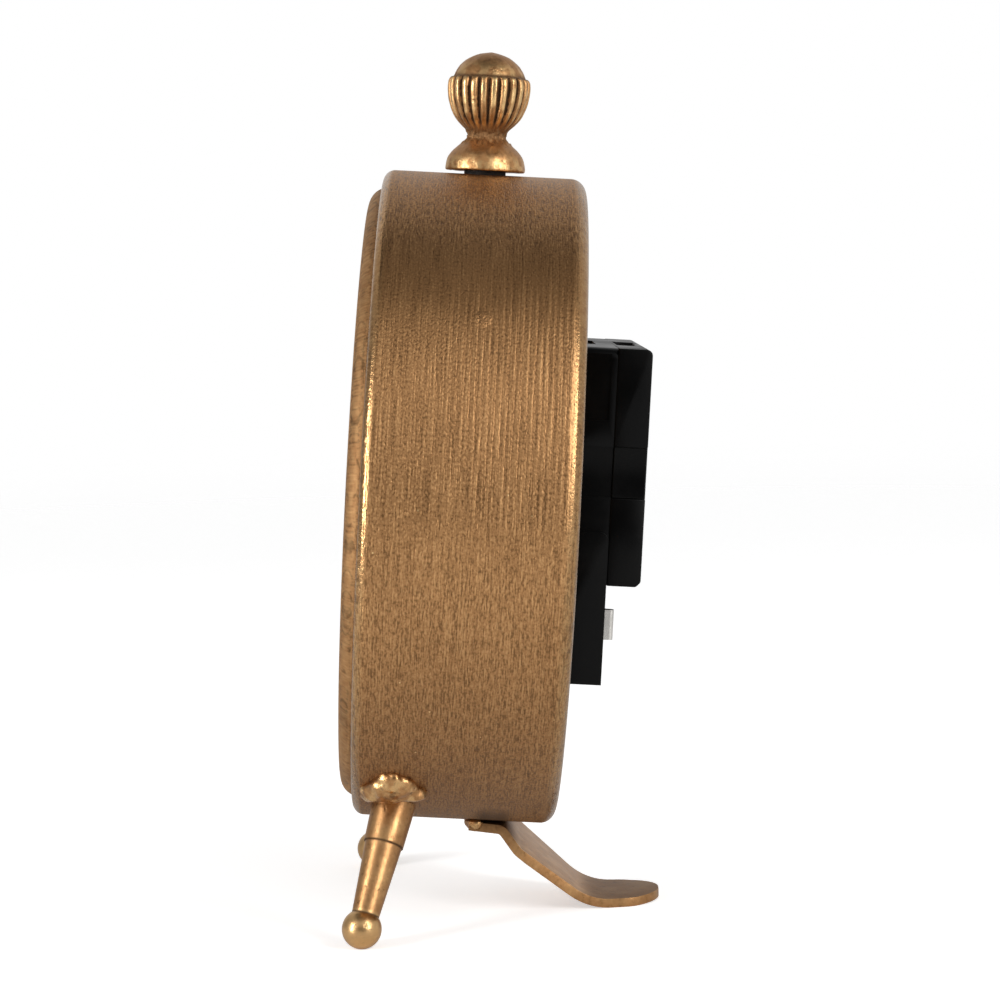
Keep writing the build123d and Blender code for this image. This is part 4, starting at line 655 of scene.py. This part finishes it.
# Minute track: two thin rings with sixty ticks between them, the fifth ones thicker
track_inner = 0.0442
track_outer = 0.0463
track_line = 0.00022
track_middle = (track_outer + track_inner) / 2
tick_length = track_outer - track_inner
tick_widths = {60: 0.0003, 12: 0.0008}
ring_steps = 180
origin = (0.0, 0.0, 0.0)
upward = (0.0, 0.0, 1.0)
tracks = []
for ring_radius in (track_inner, track_outer):
    drop_selection()
    bpy.ops.mesh.primitive_circle_add(vertices=ring_steps, radius=ring_radius)
    tracks.append(bpy.context.object)
    edit_all()
    bpy.ops.mesh.extrude_edges_move()
    widened = (ring_radius + track_line) / ring_radius
    bpy.ops.transform.resize(value=(widened, widened, 1.0), center_override=origin)
    edit_done()
for count, width in tick_widths.items():
    drop_selection()
    bpy.ops.mesh.primitive_plane_add(size=1.0)
    tracks.append(bpy.context.object)
    edit_all()
    bpy.ops.transform.resize(value=(width, tick_length, 1.0), center_override=origin)
    bpy.ops.transform.translate(value=(0.0, track_middle, 0.0))
    last_turn = math.tau - math.tau / count
    bpy.ops.mesh.spin(steps=count - 1, dupli=True, angle=last_turn, center=origin, axis=upward)
    edit_done()
track = joined(tracks)
bpy.ops.object.transform_apply(location=True, rotation=True, scale=True)
add_modifier(track, "SOLIDIFY", thickness=ink_depth)
track.rotation_euler = dial_turn
track.location = in_case(0.0, ink_front, 0.0)
settle(track, "minute_track", dial_ink, "case")

# Finial. A brass casting, turned at its foot and cap, with twenty-four round ribs cast round its bowl. Old
# lacquer stays dark between the ribs and in the neck, and the ribs are rubbed bright. A stud and nut hold it.
finial_set = 0.0166
finial_foot = 0.0566
rib_count = 24
rib_columns = 8
finial_rows = (
    (0.00675, 0.0),
    (0.0069, 0.0001),
    (0.0069, 0.0006),
    (0.00682, 0.0011),
    (0.00667, 0.0019),
    (0.0063, 0.0027),
    (0.00565, 0.00345),
    (0.00497, 0.0041),
    (0.00407, 0.00485),
    (0.00338, 0.00545),
    (0.0032, 0.0059),
    (0.00328, 0.0064),
    (0.00356, 0.0069),
    (0.0041, 0.0074),
    (0.00478, 0.0080),
    (0.00546, 0.0087),
    (0.0060, 0.0095),
    (0.00652, 0.0106),
    (0.0069, 0.01185),
    (0.00713, 0.0131),
    (0.00722, 0.0144),
    (0.00716, 0.0152),
    (0.00695, 0.0157),
    (0.0066, 0.0160),
    (0.0062, 0.0160),
    (0.0061, 0.0164),
    (0.0058, 0.0171),
    (0.0052, 0.0180),
    (0.0043, 0.0189),
    (0.0032, 0.0196),
    (0.0018, 0.02015),
    (0.0004, 0.02036),
)
flute_shares = {
    0.0074: 0.05,
    0.0080: 0.09,
    0.0087: 0.11,
    0.0095: 0.12,
    0.0106: 0.12,
    0.01185: 0.12,
    0.0131: 0.12,
    0.0144: 0.12,
    0.0152: 0.12,
    0.0157: 0.115,
}
groove_shares = {0: 1.0, 1: 0.5, 2: 0.1}
drop_selection()
bpy.ops.mesh.primitive_circle_add(vertices=rib_count * rib_columns, radius=finial_rows[0][0])
finial = bpy.context.object
edit_all()
for (radius, rise), (next_radius, next_rise) in zip(finial_rows, finial_rows[1:]):
    bpy.ops.mesh.extrude_edges_move(TRANSFORM_OT_translate={"value": (0.0, 0.0, next_rise - rise)})
    swell = next_radius / radius
    bpy.ops.transform.resize(value=(swell, swell, 1.0), center_override=(0.0, 0.0, next_rise))

# The grooves between the ribs are pressed in row by row, deepest in their middle column
column_turn = math.tau / (rib_count * rib_columns)
row_reach = 0.00002
for rise, flute_share in flute_shares.items():
    for column, groove_share in groove_shares.items():
        shape = bmesh.from_edit_mesh(finial.data)
        for vertex in shape.verts:
            turned_columns = round(math.atan2(vertex.co.y, vertex.co.x) / column_turn) % rib_columns
            from_groove = min(turned_columns, rib_columns - turned_columns)
            vertex.select = abs(vertex.co.z - rise) < row_reach and from_groove == column
        shape.select_flush_mode()
        bmesh.update_edit_mesh(finial.data)
        pressed = 1.0 - flute_share * groove_share
        bpy.ops.transform.resize(value=(pressed, pressed, 1.0), center_override=(0.0, 0.0, rise))
edit_done()
add_modifier(finial, "SUBSURF", levels=1, render_levels=1)
edit_all()
bpy.ops.mesh.fill_holes(sides=0)
bpy.ops.mesh.select_all(action="SELECT")
bpy.ops.mesh.normals_make_consistent(inside=False)
edit_done()


def lump(piece, scale, depth, group=""):
    """Makes a casting's skin uneven, all over or in a vertex group."""
    cloud = bpy.data.textures.new(piece.name + "_lumps", "CLOUDS")
    cloud.noise_scale = scale
    cloud.noise_depth = lump_octaves
    settings = {"texture": cloud, "texture_coords": "LOCAL", "strength": depth, "vertex_group": group}
    add_modifier(piece, "DISPLACE", **settings)


lump_octaves = 2
cast_lump = 0.0014
cast_depth = 0.00016
neck_low = 0.0047
neck_high = 0.0071
neck_lump = 0.00055
neck_depth = 0.0008
neck = finial.vertex_groups.new(name="neck")
in_neck = [vertex.index for vertex in finial.data.vertices if neck_low < vertex.co.z < neck_high]
neck.add(in_neck, 1.0, "REPLACE")
lump(finial, neck_lump, neck_depth, neck.name)
lump(finial, cast_lump, cast_depth)
bpy.ops.object.shade_smooth()
finial.rotation_euler = (case_lean, 0.0, 0.0)
finial.location = in_case(0.0, finial_set, finial_foot)

# Marks of a casting: fine sandy grain, cloudy lacquer and small pits, alike in every direction
sand_grain = (1500.0, 5.0, 0.6)
cloud_grain = (240.0, 4.0)
cloud_limits = (0.3, 0.65)
pit_grain = (900.0, 3.0)
cast_pit_limits = (0.62, 0.74)
cast_group, given, result = start_group("cast_marks", [("Place", "NodeSocketVector")], values(*mark_names))
feed(cast_group, result["Fine"], grain(cast_group, given["Place"], *sand_grain))
feed(cast_group, result["Broad"], patchy(cast_group, given["Place"], cloud_grain, cloud_limits))
feed(cast_group, result["Strokes"], patchy(cast_group, given["Place"], pit_grain, cast_pit_limits))

# The finial's gold is rubbed on its crests, foot and cap's rim, and soiled in its grooves, neck and seam
ribbed_start = (0.0066, 0.0086)
ribbed_end = (0.0162, 0.0158)
groove_grain = (1500.0, 2.0)
groove_rough = 1.6
groove_limits = (0.25, 0.9)
crest_limits = (0.1, -0.7)
crest_grain = (420.0, 4.0)
crest_patches = (0.35, 0.6)
base_rise = (0.0030, 0.0012)
base_grain = (700.0, 3.0)
base_patches = (0.4, 0.6)
base_bare = 0.6
rim_start = (0.0160, 0.0164)
rim_end = (0.0192, 0.0170)
rim_grain = (520.0, 3.0)
rim_patches = (0.45, 0.58)
rim_bare = 0.5
neck_start = (0.0048, 0.0062)
neck_end = (0.0085, 0.0066)
neck_soil = 0.55
cap_seam_start = (0.0156, 0.0159)
cap_seam_end = (0.0170, 0.0160)
cap_seam_soil = 0.7
cast_grain_depth = 0.00006
finial_gold, tree, surface, place = start_material("finial_cast_gold")
across, along, rise = leaned(tree, place, in_case(0.0, finial_set, finial_foot))
turn = calc(tree, "ARCTAN2", along, across)
wave = calc(tree, "COSINE", times(tree, turn, float(rib_count)))
ribbed = within(tree, rise, ribbed_start, ribbed_end)
ragged = calc(tree, "SUBTRACT", grain(tree, place, *groove_grain), noise_middle)
ragged = calc(tree, "MULTIPLY_ADD", ragged, groove_rough, wave)
groove = times(tree, span(tree, ragged, *groove_limits), ribbed)
crest = times(tree, span(tree, wave, *crest_limits), ribbed)
crest = times(tree, crest, patchy(tree, place, crest_grain, crest_patches))
base = span(tree, rise, *base_rise)
base = times(tree, base, patchy(tree, place, base_grain, base_patches))
rim = within(tree, rise, rim_start, rim_end)
rim = times(tree, rim, patchy(tree, place, rim_grain, rim_patches))
neck_dirt = within(tree, rise, neck_start, neck_end)
cap_seam = within(tree, rise, cap_seam_start, cap_seam_end)
bare = strongest(tree, crest, (base, base_bare), (rim, rim_bare))
soil_and_shade = strongest(tree, groove, (neck_dirt, neck_soil), (cap_seam, cap_seam_soil))
marks = place_group(tree, cast_group, Place=place)
lay_gold(tree, surface, marks, bare, soil_and_shade, cast_grain_depth)
settle(finial, "finial_casting", finial_gold, "case")
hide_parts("finial")


def noise_finish(name, noise, tones, dull, metal=0.0, depth=0.0):
    """A material in two tones of one noise, which roughens it too where a depth is given."""
    material, tree, surface, place = start_material(name)
    pattern = grain(tree, place, *noise)
    two_tone(tree, surface, pattern, tones, dull, metal)
    if depth:
        roughen(tree, surface, pattern, depth)
    return material


fibre_grain = (1800.0, 3.0)
fibre_tones = (grey(0.008), (0.03, 0.028, 0.026, 1.0))
fibre_dull = (0.6, 0.85)
dress(noise_finish("black_fibre", fibre_grain, fibre_tones, fibre_dull), "finial_washer")
steel_grain = (900.0, 4.0)
steel_tones = ((0.33, 0.33, 0.34, 1.0), (0.56, 0.56, 0.57, 1.0))
steel_dull = (0.25, 0.42)
steel_depth = 0.00001
steel_plain = noise_finish("plain_steel", steel_grain, steel_tones, steel_dull, 1.0, steel_depth)
dress(steel_plain, "finial_stud", "finial_nut", "coil_core", "stator_plate")

# Front legs. Each is a turned sleeve, a tapered shank pinned into it and a ball on the shank's tenon, all of
# brass in satin antique gold. Dirt lies in the seam between sleeve and shank and above the ball.
ball_middle = Vector((0.0328498, -0.023643, 0.0032))
leg_down = Vector((0.42579, -0.25547, -0.86801))
leg_length = 0.02157
sleeve_length = 0.00687
ball_radius = 0.00332
ball_seam_share = 0.72
ball_start_share = 0.7
ball_bare = (0.0, 0.5)
seam_width = 0.00035
leg_grain = (300.0, 4.0)
leg_patches = (0.42, 0.68)
leg_bare = 0.2
leg_seam_soil = 0.8
leg_soil = 0.06
leg_grain_depth = 0.00004
leg_polish = 0.08
ball_start = (leg_length - ball_radius, leg_length - ball_radius * ball_start_share)
leg_gold, tree, surface, place = start_material("leg_turned_gold")
across, along, rise = parted(tree, place)
reach = tree.nodes.new("ShaderNodeVectorMath")
reach.operation = "DOT_PRODUCT"
feed(tree, reach.inputs[0], spot(tree, calc(tree, "ABSOLUTE", across), along, rise))
reach.inputs[1].default_value = leg_down
down = calc(tree, "ADD", reach.outputs["Value"], leg_length - ball_middle.dot(leg_down))
sleeve_gap = calc(tree, "ABSOLUTE", calc(tree, "SUBTRACT", down, sleeve_length))
ball_gap = calc(tree, "SUBTRACT", down, leg_length - ball_radius * ball_seam_share)
ball_gap = calc(tree, "ABSOLUTE", ball_gap)
seams = span(tree, calc(tree, "MINIMUM", sleeve_gap, ball_gap), seam_width, 0.0)
on_ball = span(tree, down, *ball_start, *ball_bare)
bare = strongest(tree, on_ball, (patchy(tree, place, leg_grain, leg_patches), leg_bare))
soil_and_shade = calc(tree, "MULTIPLY_ADD", seams, leg_seam_soil, leg_soil)
marks = place_group(tree, cast_group, Place=place)
lay_gold(tree, surface, marks, bare, soil_and_shade, leg_grain_depth, polish=leg_polish)
dress(leg_gold, "leg_sleeve_right", "leg_sleeve_left", "leg_shank_right", "leg_shank_left")
dress(leg_gold, "foot_ball_right", "foot_ball_left")

# Braze. Brass run round each leg's root and along the strip foot's lip with a torch, left in lumps and
# lacquered over with the rest. The lumps are melted together from the solids that hold their place.
braze_grain = (420.0, 3.0)
braze_patches = (0.45, 0.62)
braze_bare = 0.55
hollow_grain = (520.0, 3.0)
hollow_patches = (0.44, 0.3)
hollow_soil = 0.6
braze_grain_depth = 0.00005
braze_polish = 0.12
braze_gold, tree, surface, place = start_material("braze_lumps")
bare = times(tree, patchy(tree, place, braze_grain, braze_patches), braze_bare)
soil_and_shade = times(tree, patchy(tree, place, hollow_grain, hollow_patches), hollow_soil)
marks = place_group(tree, cast_group, Place=place)
lay_gold(tree, surface, marks, bare, soil_and_shade, braze_grain_depth, polish=braze_polish)
join_reach = 0.000001


def joined_copy(node):
    """A copy of a CAD node with its loose triangles joined, selected and active."""
    drop_selection()
    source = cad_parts[node]
    copy = bpy.data.objects.new(node + "_copy", source.data.copy())
    bpy.context.scene.collection.objects.link(copy)
    copy.select_set(True)
    bpy.context.view_layer.objects.active = copy
    edit_all()
    bpy.ops.mesh.remove_doubles(threshold=join_reach)
    edit_done()
    return copy


# The copies swell and melt. Those at the legs run up the drum a little and are cut off above the sleeves.
melt_voxel = 0.00025
melt_swell = 0.0011
lip_swell = 0.0003
melt_steps = 70
last_steps = 6
smooth_share = 0.5
melt_lump = 0.0030
melt_depth = 0.0012
lip_depth = 0.0008
run_turn = math.radians(3.0)
root_rise = 0.0243
lip_shift = Vector((0.0, 0.0018, -0.0003))
drum_axis = Matrix.Translation(case_place) @ Matrix.Rotation(case_lean, 4, "X")
run_up = {"leg_braze_right": -run_turn, "leg_braze_left": run_turn}
for node in ("leg_braze_right", "leg_braze_left", "rear_foot_braze"):
    braze = joined_copy(node)
    on_leg = node in run_up
    if on_leg:
        braze.matrix_world = drum_axis @ Matrix.Rotation(run_up[node], 4, "Y") @ drum_axis.inverted()
    else:
        braze.location = lip_shift
    bpy.ops.object.transform_apply(location=True, rotation=True, scale=True)
    add_modifier(braze, "REMESH", mode="VOXEL", voxel_size=melt_voxel)
    add_modifier(braze, "DISPLACE", strength=melt_swell if on_leg else lip_swell, mid_level=0.0)
    if on_leg:
        edit_all()
        bpy.ops.mesh.bisect(plane_co=(0.0, 0.0, root_rise), plane_no=upward, use_fill=True, clear_inner=True)
        edit_done()
        add_modifier(braze, "REMESH", mode="VOXEL", voxel_size=melt_voxel)
        add_modifier(braze, "SMOOTH", factor=smooth_share, iterations=melt_steps)
    lump(braze, melt_lump, melt_depth if on_leg else lip_depth)
    add_modifier(braze, "SMOOTH", factor=smooth_share, iterations=last_steps)
    bpy.ops.object.shade_smooth()
    settle(braze, node + "_melt", braze_gold, "case")
    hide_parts(node)

# Rear foot. A strip of brass sheet with a rounded end, bent to a shelf, a ramp and a toe that lies on the
# floor, with its sheared edges filed round. It has the legs' gold, with painted shade on its shelf under the
# drum, and is darker on its upward faces.
shelf_rise = (0.010, 0.018)
facing_up = (0.80, 0.97)
strip_darkening = (0.0, 0.55)
strip_grain = (260.0, 4.0)
strip_patches = (0.42, 0.7)
strip_bare = 0.15
strip_grain_depth = 0.00004
strip_polish = 0.06
foot_gold, tree, surface, place = start_material("foot_strip_gold")
bare = times(tree, patchy(tree, place, strip_grain, strip_patches), strip_bare)
# Painted shade on the shelf, which lies under the drum, and darker upward faces
shelf_shade = span(tree, parted(tree, place)[2], *shelf_rise, *strip_darkening)
facing = parted(tree, tree.nodes.new("ShaderNodeNewGeometry").outputs["Normal"])
soil_and_shade = calc(tree, "MAXIMUM", shelf_shade, span(tree, facing[2], *facing_up, *strip_darkening))
marks = place_group(tree, cast_group, Place=place)
lay_gold(tree, surface, marks, bare, soil_and_shade, strip_grain_depth, polish=strip_polish)
flat_angle = math.radians(0.4)
sharp_angle = math.radians(38.0)
smooth_angle = math.radians(34.0)


def filed_copy(node, edge_round, steps):
    """A copy of a CAD node whose flat faces are whole again and whose sharp edges are rounded."""
    copy = joined_copy(node)
    edit_all()
    bpy.ops.mesh.dissolve_limited(angle_limit=flat_angle)
    edit_done()
    settings = {"width": edge_round, "segments": steps, "limit_method": "ANGLE", "angle_limit": sharp_angle}
    add_modifier(copy, "BEVEL", **settings)
    bpy.ops.object.shade_smooth_by_angle(angle=smooth_angle)
    return copy


strip_round = 0.0007
strip_steps = 4
foot = filed_copy("rear_foot", strip_round, strip_steps)
settle(foot, "rear_foot_strip", foot_gold, "case")
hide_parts("rear_foot")

# Quartz movement. Its front case with the cell's tray and its back cover are moulded in black plastic,
# semi-gloss, and snap together along the parting line. The mould's corners are rounded, its faces grained.
sparkle_grain = (3200.0, 2.0)
bloom_grain = (120.0, 4.0)
bloom_limits = (0.35, 0.7)
mould_dull = (0.28, 0.40)
mould_group, given, result = start_group(
    "mould_grain", [("Place", "NodeSocketVector")], values("Tone", "Roughness", "Height")
)
bloom = grain(mould_group, given["Place"], *bloom_grain)
feed(mould_group, result["Tone"], span(mould_group, bloom, *bloom_limits))
feed(mould_group, result["Roughness"], span(mould_group, bloom, *noise_swing, *mould_dull))
feed(mould_group, result["Height"], grain(mould_group, given["Place"], *sparkle_grain))


def mould(name, tones, depth, gloss=0.5):
    """A moulded plastic in two close tones."""
    material, tree, surface, place = start_material(name)
    moulded = place_group(tree, mould_group, Place=place)
    feed(tree, surface["Base Color"], blend(tree, moulded["Tone"], *tones))
    feed(tree, surface["Roughness"], moulded["Roughness"])
    surface["Specular IOR Level"].default_value = gloss
    roughen(tree, surface, moulded["Height"], depth)
    return material


mould_depth = 0.000006
mould_steps = 2
shell_tones = (grey(0.0012), (0.0022, 0.0021, 0.0020, 1.0))
shell_gloss = 0.12
shell_round = 0.00025
knob_tones = (grey(0.012), grey(0.024))
knob_round = 0.00015
shell_plastic = mould("black_shell_plastic", shell_tones, mould_depth, shell_gloss)
for node in ("movement_front_case", "movement_back_cover"):
    shell = filed_copy(node, shell_round, mould_steps)
    settle(shell, node + "_shell", shell_plastic, "case")
    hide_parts(node)
knob_plastic = mould("knob_plastic", knob_tones, mould_depth)
knob = filed_copy("setting_knob", knob_round, mould_steps)
settle(knob, "setting_knob_moulding", knob_plastic, "setting_knob")
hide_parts("setting_knob")

# Cell contacts and fixings. The contacts are nickel-plated spring strip folded over the tray's ends. A brass
# bush and hex nut clamp the movement to the board, over a rubber washer and under a brass one.
nickel_grain = (600.0, 4.0)
nickel_tones = ((0.50, 0.48, 0.45, 1.0), (0.78, 0.76, 0.72, 1.0))
nickel_dull = (0.2, 0.34)
nickel_depth = 0.000008
nickel_plate = noise_finish("nickel_plate", nickel_grain, nickel_tones, nickel_dull, 1.0, nickel_depth)
dress(nickel_plate, "contact_positive", "contact_negative", "quartz_crystal")

brass_tones = ((0.46, 0.30, 0.10, 1.0), (0.86, 0.64, 0.28, 1.0))
brass_dull = (0.2, 0.36)
brass_depth = 0.00001
turned_brass, tree, surface, place = start_material("turned_brass")
wrap = place_group(tree, wrap_group, Place=place)
marks = place_group(tree, brush_group, Across=wrap["Radius"], Run=wrap["Round"])
two_tone(tree, surface, marks["Fine"], brass_tones, brass_dull, 1.0)
roughen(tree, surface, marks["Fine"], brass_depth)
dress(turned_brass, "threaded_bush", "brass_washer", "hex_nut", "minute_pipe")

rubber_tones = (grey(0.012), (0.035, 0.034, 0.033, 1.0))
rubber_depth = 0.00003
dress(mould("washer_rubber", rubber_tones, rubber_depth), "rubber_washer")

# Inside the movement. A phenolic circuit board with its chip and crystal feeds a coil of enamelled wire, whose
# core and stator turn a magnet rotor. The wheels are moulded in natural plastic and run under a white bridge.
laminate_grain = (500.0, 5.0)
laminate_tones = ((0.16, 0.09, 0.03, 1.0), (0.30, 0.18, 0.07, 1.0))
laminate_dull = (0.4, 0.6)
chip_tones = (grey(0.010), grey(0.020))
chip_depth = 0.00004
dress(noise_finish("circuit_laminate", laminate_grain, laminate_tones, laminate_dull), "circuit_board")
dress(mould("chip_resin", chip_tones, chip_depth), "timing_chip")

wire_pitch = 9000.0
wire_tones = ((0.22, 0.07, 0.02, 1.0), (0.72, 0.30, 0.12, 1.0))
wire_dull = (0.5, 0.26)
wire_metal = 0.9
wire_depth = 0.00004
wave_share = 0.5
wire_copper, tree, surface, place = start_material("enamelled_wire")
turns = calc(tree, "SINE", times(tree, parted(tree, place)[0], wire_pitch))
turns = calc(tree, "MULTIPLY_ADD", turns, wave_share, wave_share)
feed(tree, surface["Base Color"], blend(tree, turns, *wire_tones))
feed(tree, surface["Roughness"], span(tree, turns, 0.0, 1.0, *wire_dull))
surface["Metallic"].default_value = wire_metal
roughen(tree, surface, turns, wire_depth)
dress(wire_copper, "coil_winding")

natural_tones = ((0.62, 0.60, 0.54, 1.0), (0.76, 0.74, 0.68, 1.0))
magnet_tones = ((0.035, 0.033, 0.032, 1.0), (0.07, 0.066, 0.062, 1.0))
magnet_depth = 0.00002
natural_plastic = mould("natural_plastic", natural_tones, mould_depth)
dress(natural_plastic, "train_bridge", "coil_bobbin", "idler_wheel", "second_wheel", "third_wheel")
dress(natural_plastic, "centre_wheel", "minute_wheel", "hour_wheel")
dress(mould("rotor_magnet", magnet_tones, magnet_depth), "rotor")

# Hands. Stamped from thin sheet, each pressed on its shaft by a collet, and stoved black with rubbed edges.
# They stand at ten past ten.
hand_grain = (350.0, 3.0)
hand_tones = (grey(0.006), (0.018, 0.016, 0.014, 1.0))
hand_dull = (0.24, 0.4)
hand_depth = 0.00001
hand_round = 0.0001
hand_steps = 2
hand_bodies = {"hour_hand": "hour_pipe", "minute_hand": "minute_arbor", "second_hand": "second_arbor"}
hand_black = noise_finish("stoved_black", hand_grain, hand_tones, hand_dull, depth=hand_depth)
for node, body in hand_bodies.items():
    hand = filed_copy(node, hand_round, hand_steps)
    settle(hand, node + "_stamping", hand_black, body)
    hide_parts(node)

# Studio. A pale floor and a white surround that is darker overhead and on the camera's side, with one tall
# soft box towards the dial and one towards the back. The camera faces the drum's side as in the photograph.
floor_size = 4.0
floor_reach = (0.25, 1.2)
floor_grain = (3.0, 3.0)
floor_tones = (grey(0.86), grey(0.90))
floor_dull = 0.8
floor_gloss = 0.2
floor_glow = 0.5
white = grey(1.0)
drop_selection()
bpy.ops.mesh.primitive_plane_add(size=floor_size)
floor = bpy.context.object
floor.name = "floor"
floor_paint, tree, surface, place = start_material("pale_floor")
feed(tree, surface["Base Color"], blend(tree, grain(tree, place, *floor_grain), *floor_tones))
surface["Roughness"].default_value = floor_dull
surface["Specular IOR Level"].default_value = floor_gloss
surface["Emission Color"].default_value = white
seen = tree.nodes.new("ShaderNodeLightPath").outputs["Is Camera Ray"]
feed(tree, surface["Emission Strength"], times(tree, seen, floor_glow))
away = tree.nodes.new("ShaderNodeVectorMath")
away.operation = "LENGTH"
feed(tree, away.inputs[0], place)
fade = tree.nodes.new("ShaderNodeMixShader")
feed(tree, fade.inputs["Fac"], span(tree, away.outputs["Value"], *floor_reach))
feed(tree, fade.inputs[1], tree.nodes["Principled BSDF"].outputs[0])
feed(tree, fade.inputs[2], tree.nodes.new("ShaderNodeBsdfTransparent").outputs[0])
feed(tree, tree.nodes["Material Output"].inputs["Surface"], fade.outputs[0])
floor.data.materials.append(floor_paint)

overhead_grey = grey(0.10)
camera_side_grey = grey(0.10)
dial_side_grey = grey(0.52)
surround_white = grey(0.92)
surround_strength = 0.75
overhead_rise = (0.72, 0.97)
camera_side_reach = (0.80, 0.96)
dial_side_reach = (-0.35, -0.85)
world = bpy.data.worlds.new("studio_surround")
bpy.context.scene.world = world
world.use_nodes = True
tree = world.node_tree
backdrop = tree.nodes["Background"]
outward = parted(tree, tree.nodes.new("ShaderNodeTexCoord").outputs["Generated"])
dome = blend(tree, span(tree, outward[2], *overhead_rise), surround_white, overhead_grey)
dome = blend(tree, span(tree, outward[1], *dial_side_reach), dome, dial_side_grey)
dome = blend(tree, span(tree, outward[0], *camera_side_reach), dome, camera_side_grey)
seen = tree.nodes.new("ShaderNodeLightPath").outputs["Is Camera Ray"]
feed(tree, backdrop.inputs["Color"], blend(tree, seen, dome, white))
feed(tree, backdrop.inputs["Strength"], span(tree, seen, 0.0, 1.0, surround_strength, 1.0))


def soft_box(name, at, aim, width, height, power):
    """A rectangular soft light at a place, turned towards another."""
    drop_selection()
    bpy.ops.object.light_add(type="AREA", location=at)
    box = bpy.context.object
    box.name = name
    box.data.shape = "RECTANGLE"
    box.data.size = width
    box.data.size_y = height
    box.data.energy = power
    box.rotation_euler = (Vector(aim) - Vector(at)).to_track_quat("-Z", "Y").to_euler()


drum_middle = (0.0, -0.005, 0.075)
box_width = 0.16
dial_box_place = (0.39, -0.58, 0.22)
dial_box_height = 0.48
dial_box_power = 3.3
rear_box_place = (0.50, 0.48, 0.38)
rear_box_height = 0.54
rear_box_power = 3.0
soft_box("dial_side_box", dial_box_place, drum_middle, box_width, dial_box_height, dial_box_power)
soft_box("rear_side_box", rear_box_place, drum_middle, box_width, rear_box_height, rear_box_power)

camera_place = Vector((0.508758, -0.002168, 0.114493))
camera_aim = Vector((0.0, 0.001197, 0.071053))
camera_up = Vector((0.0, 0.02466, 0.99970))
camera_lens = 105.18
camera_sensor = 36.0
drop_selection()
bpy.ops.object.camera_add(location=camera_place)
camera = bpy.context.object
sight = (camera_aim - camera_place).normalized()
rightward = sight.cross(camera_up).normalized()
headward = rightward.cross(sight)
turned_to = Matrix((rightward, headward, -sight)).transposed()
camera.matrix_world = Matrix.Translation(camera_place) @ turned_to.to_4x4()
camera.data.sensor_width = camera_sensor
camera.data.lens = camera_lens
bpy.context.scene.camera = camera
bpy.context.scene.view_settings.view_transform = "Standard"
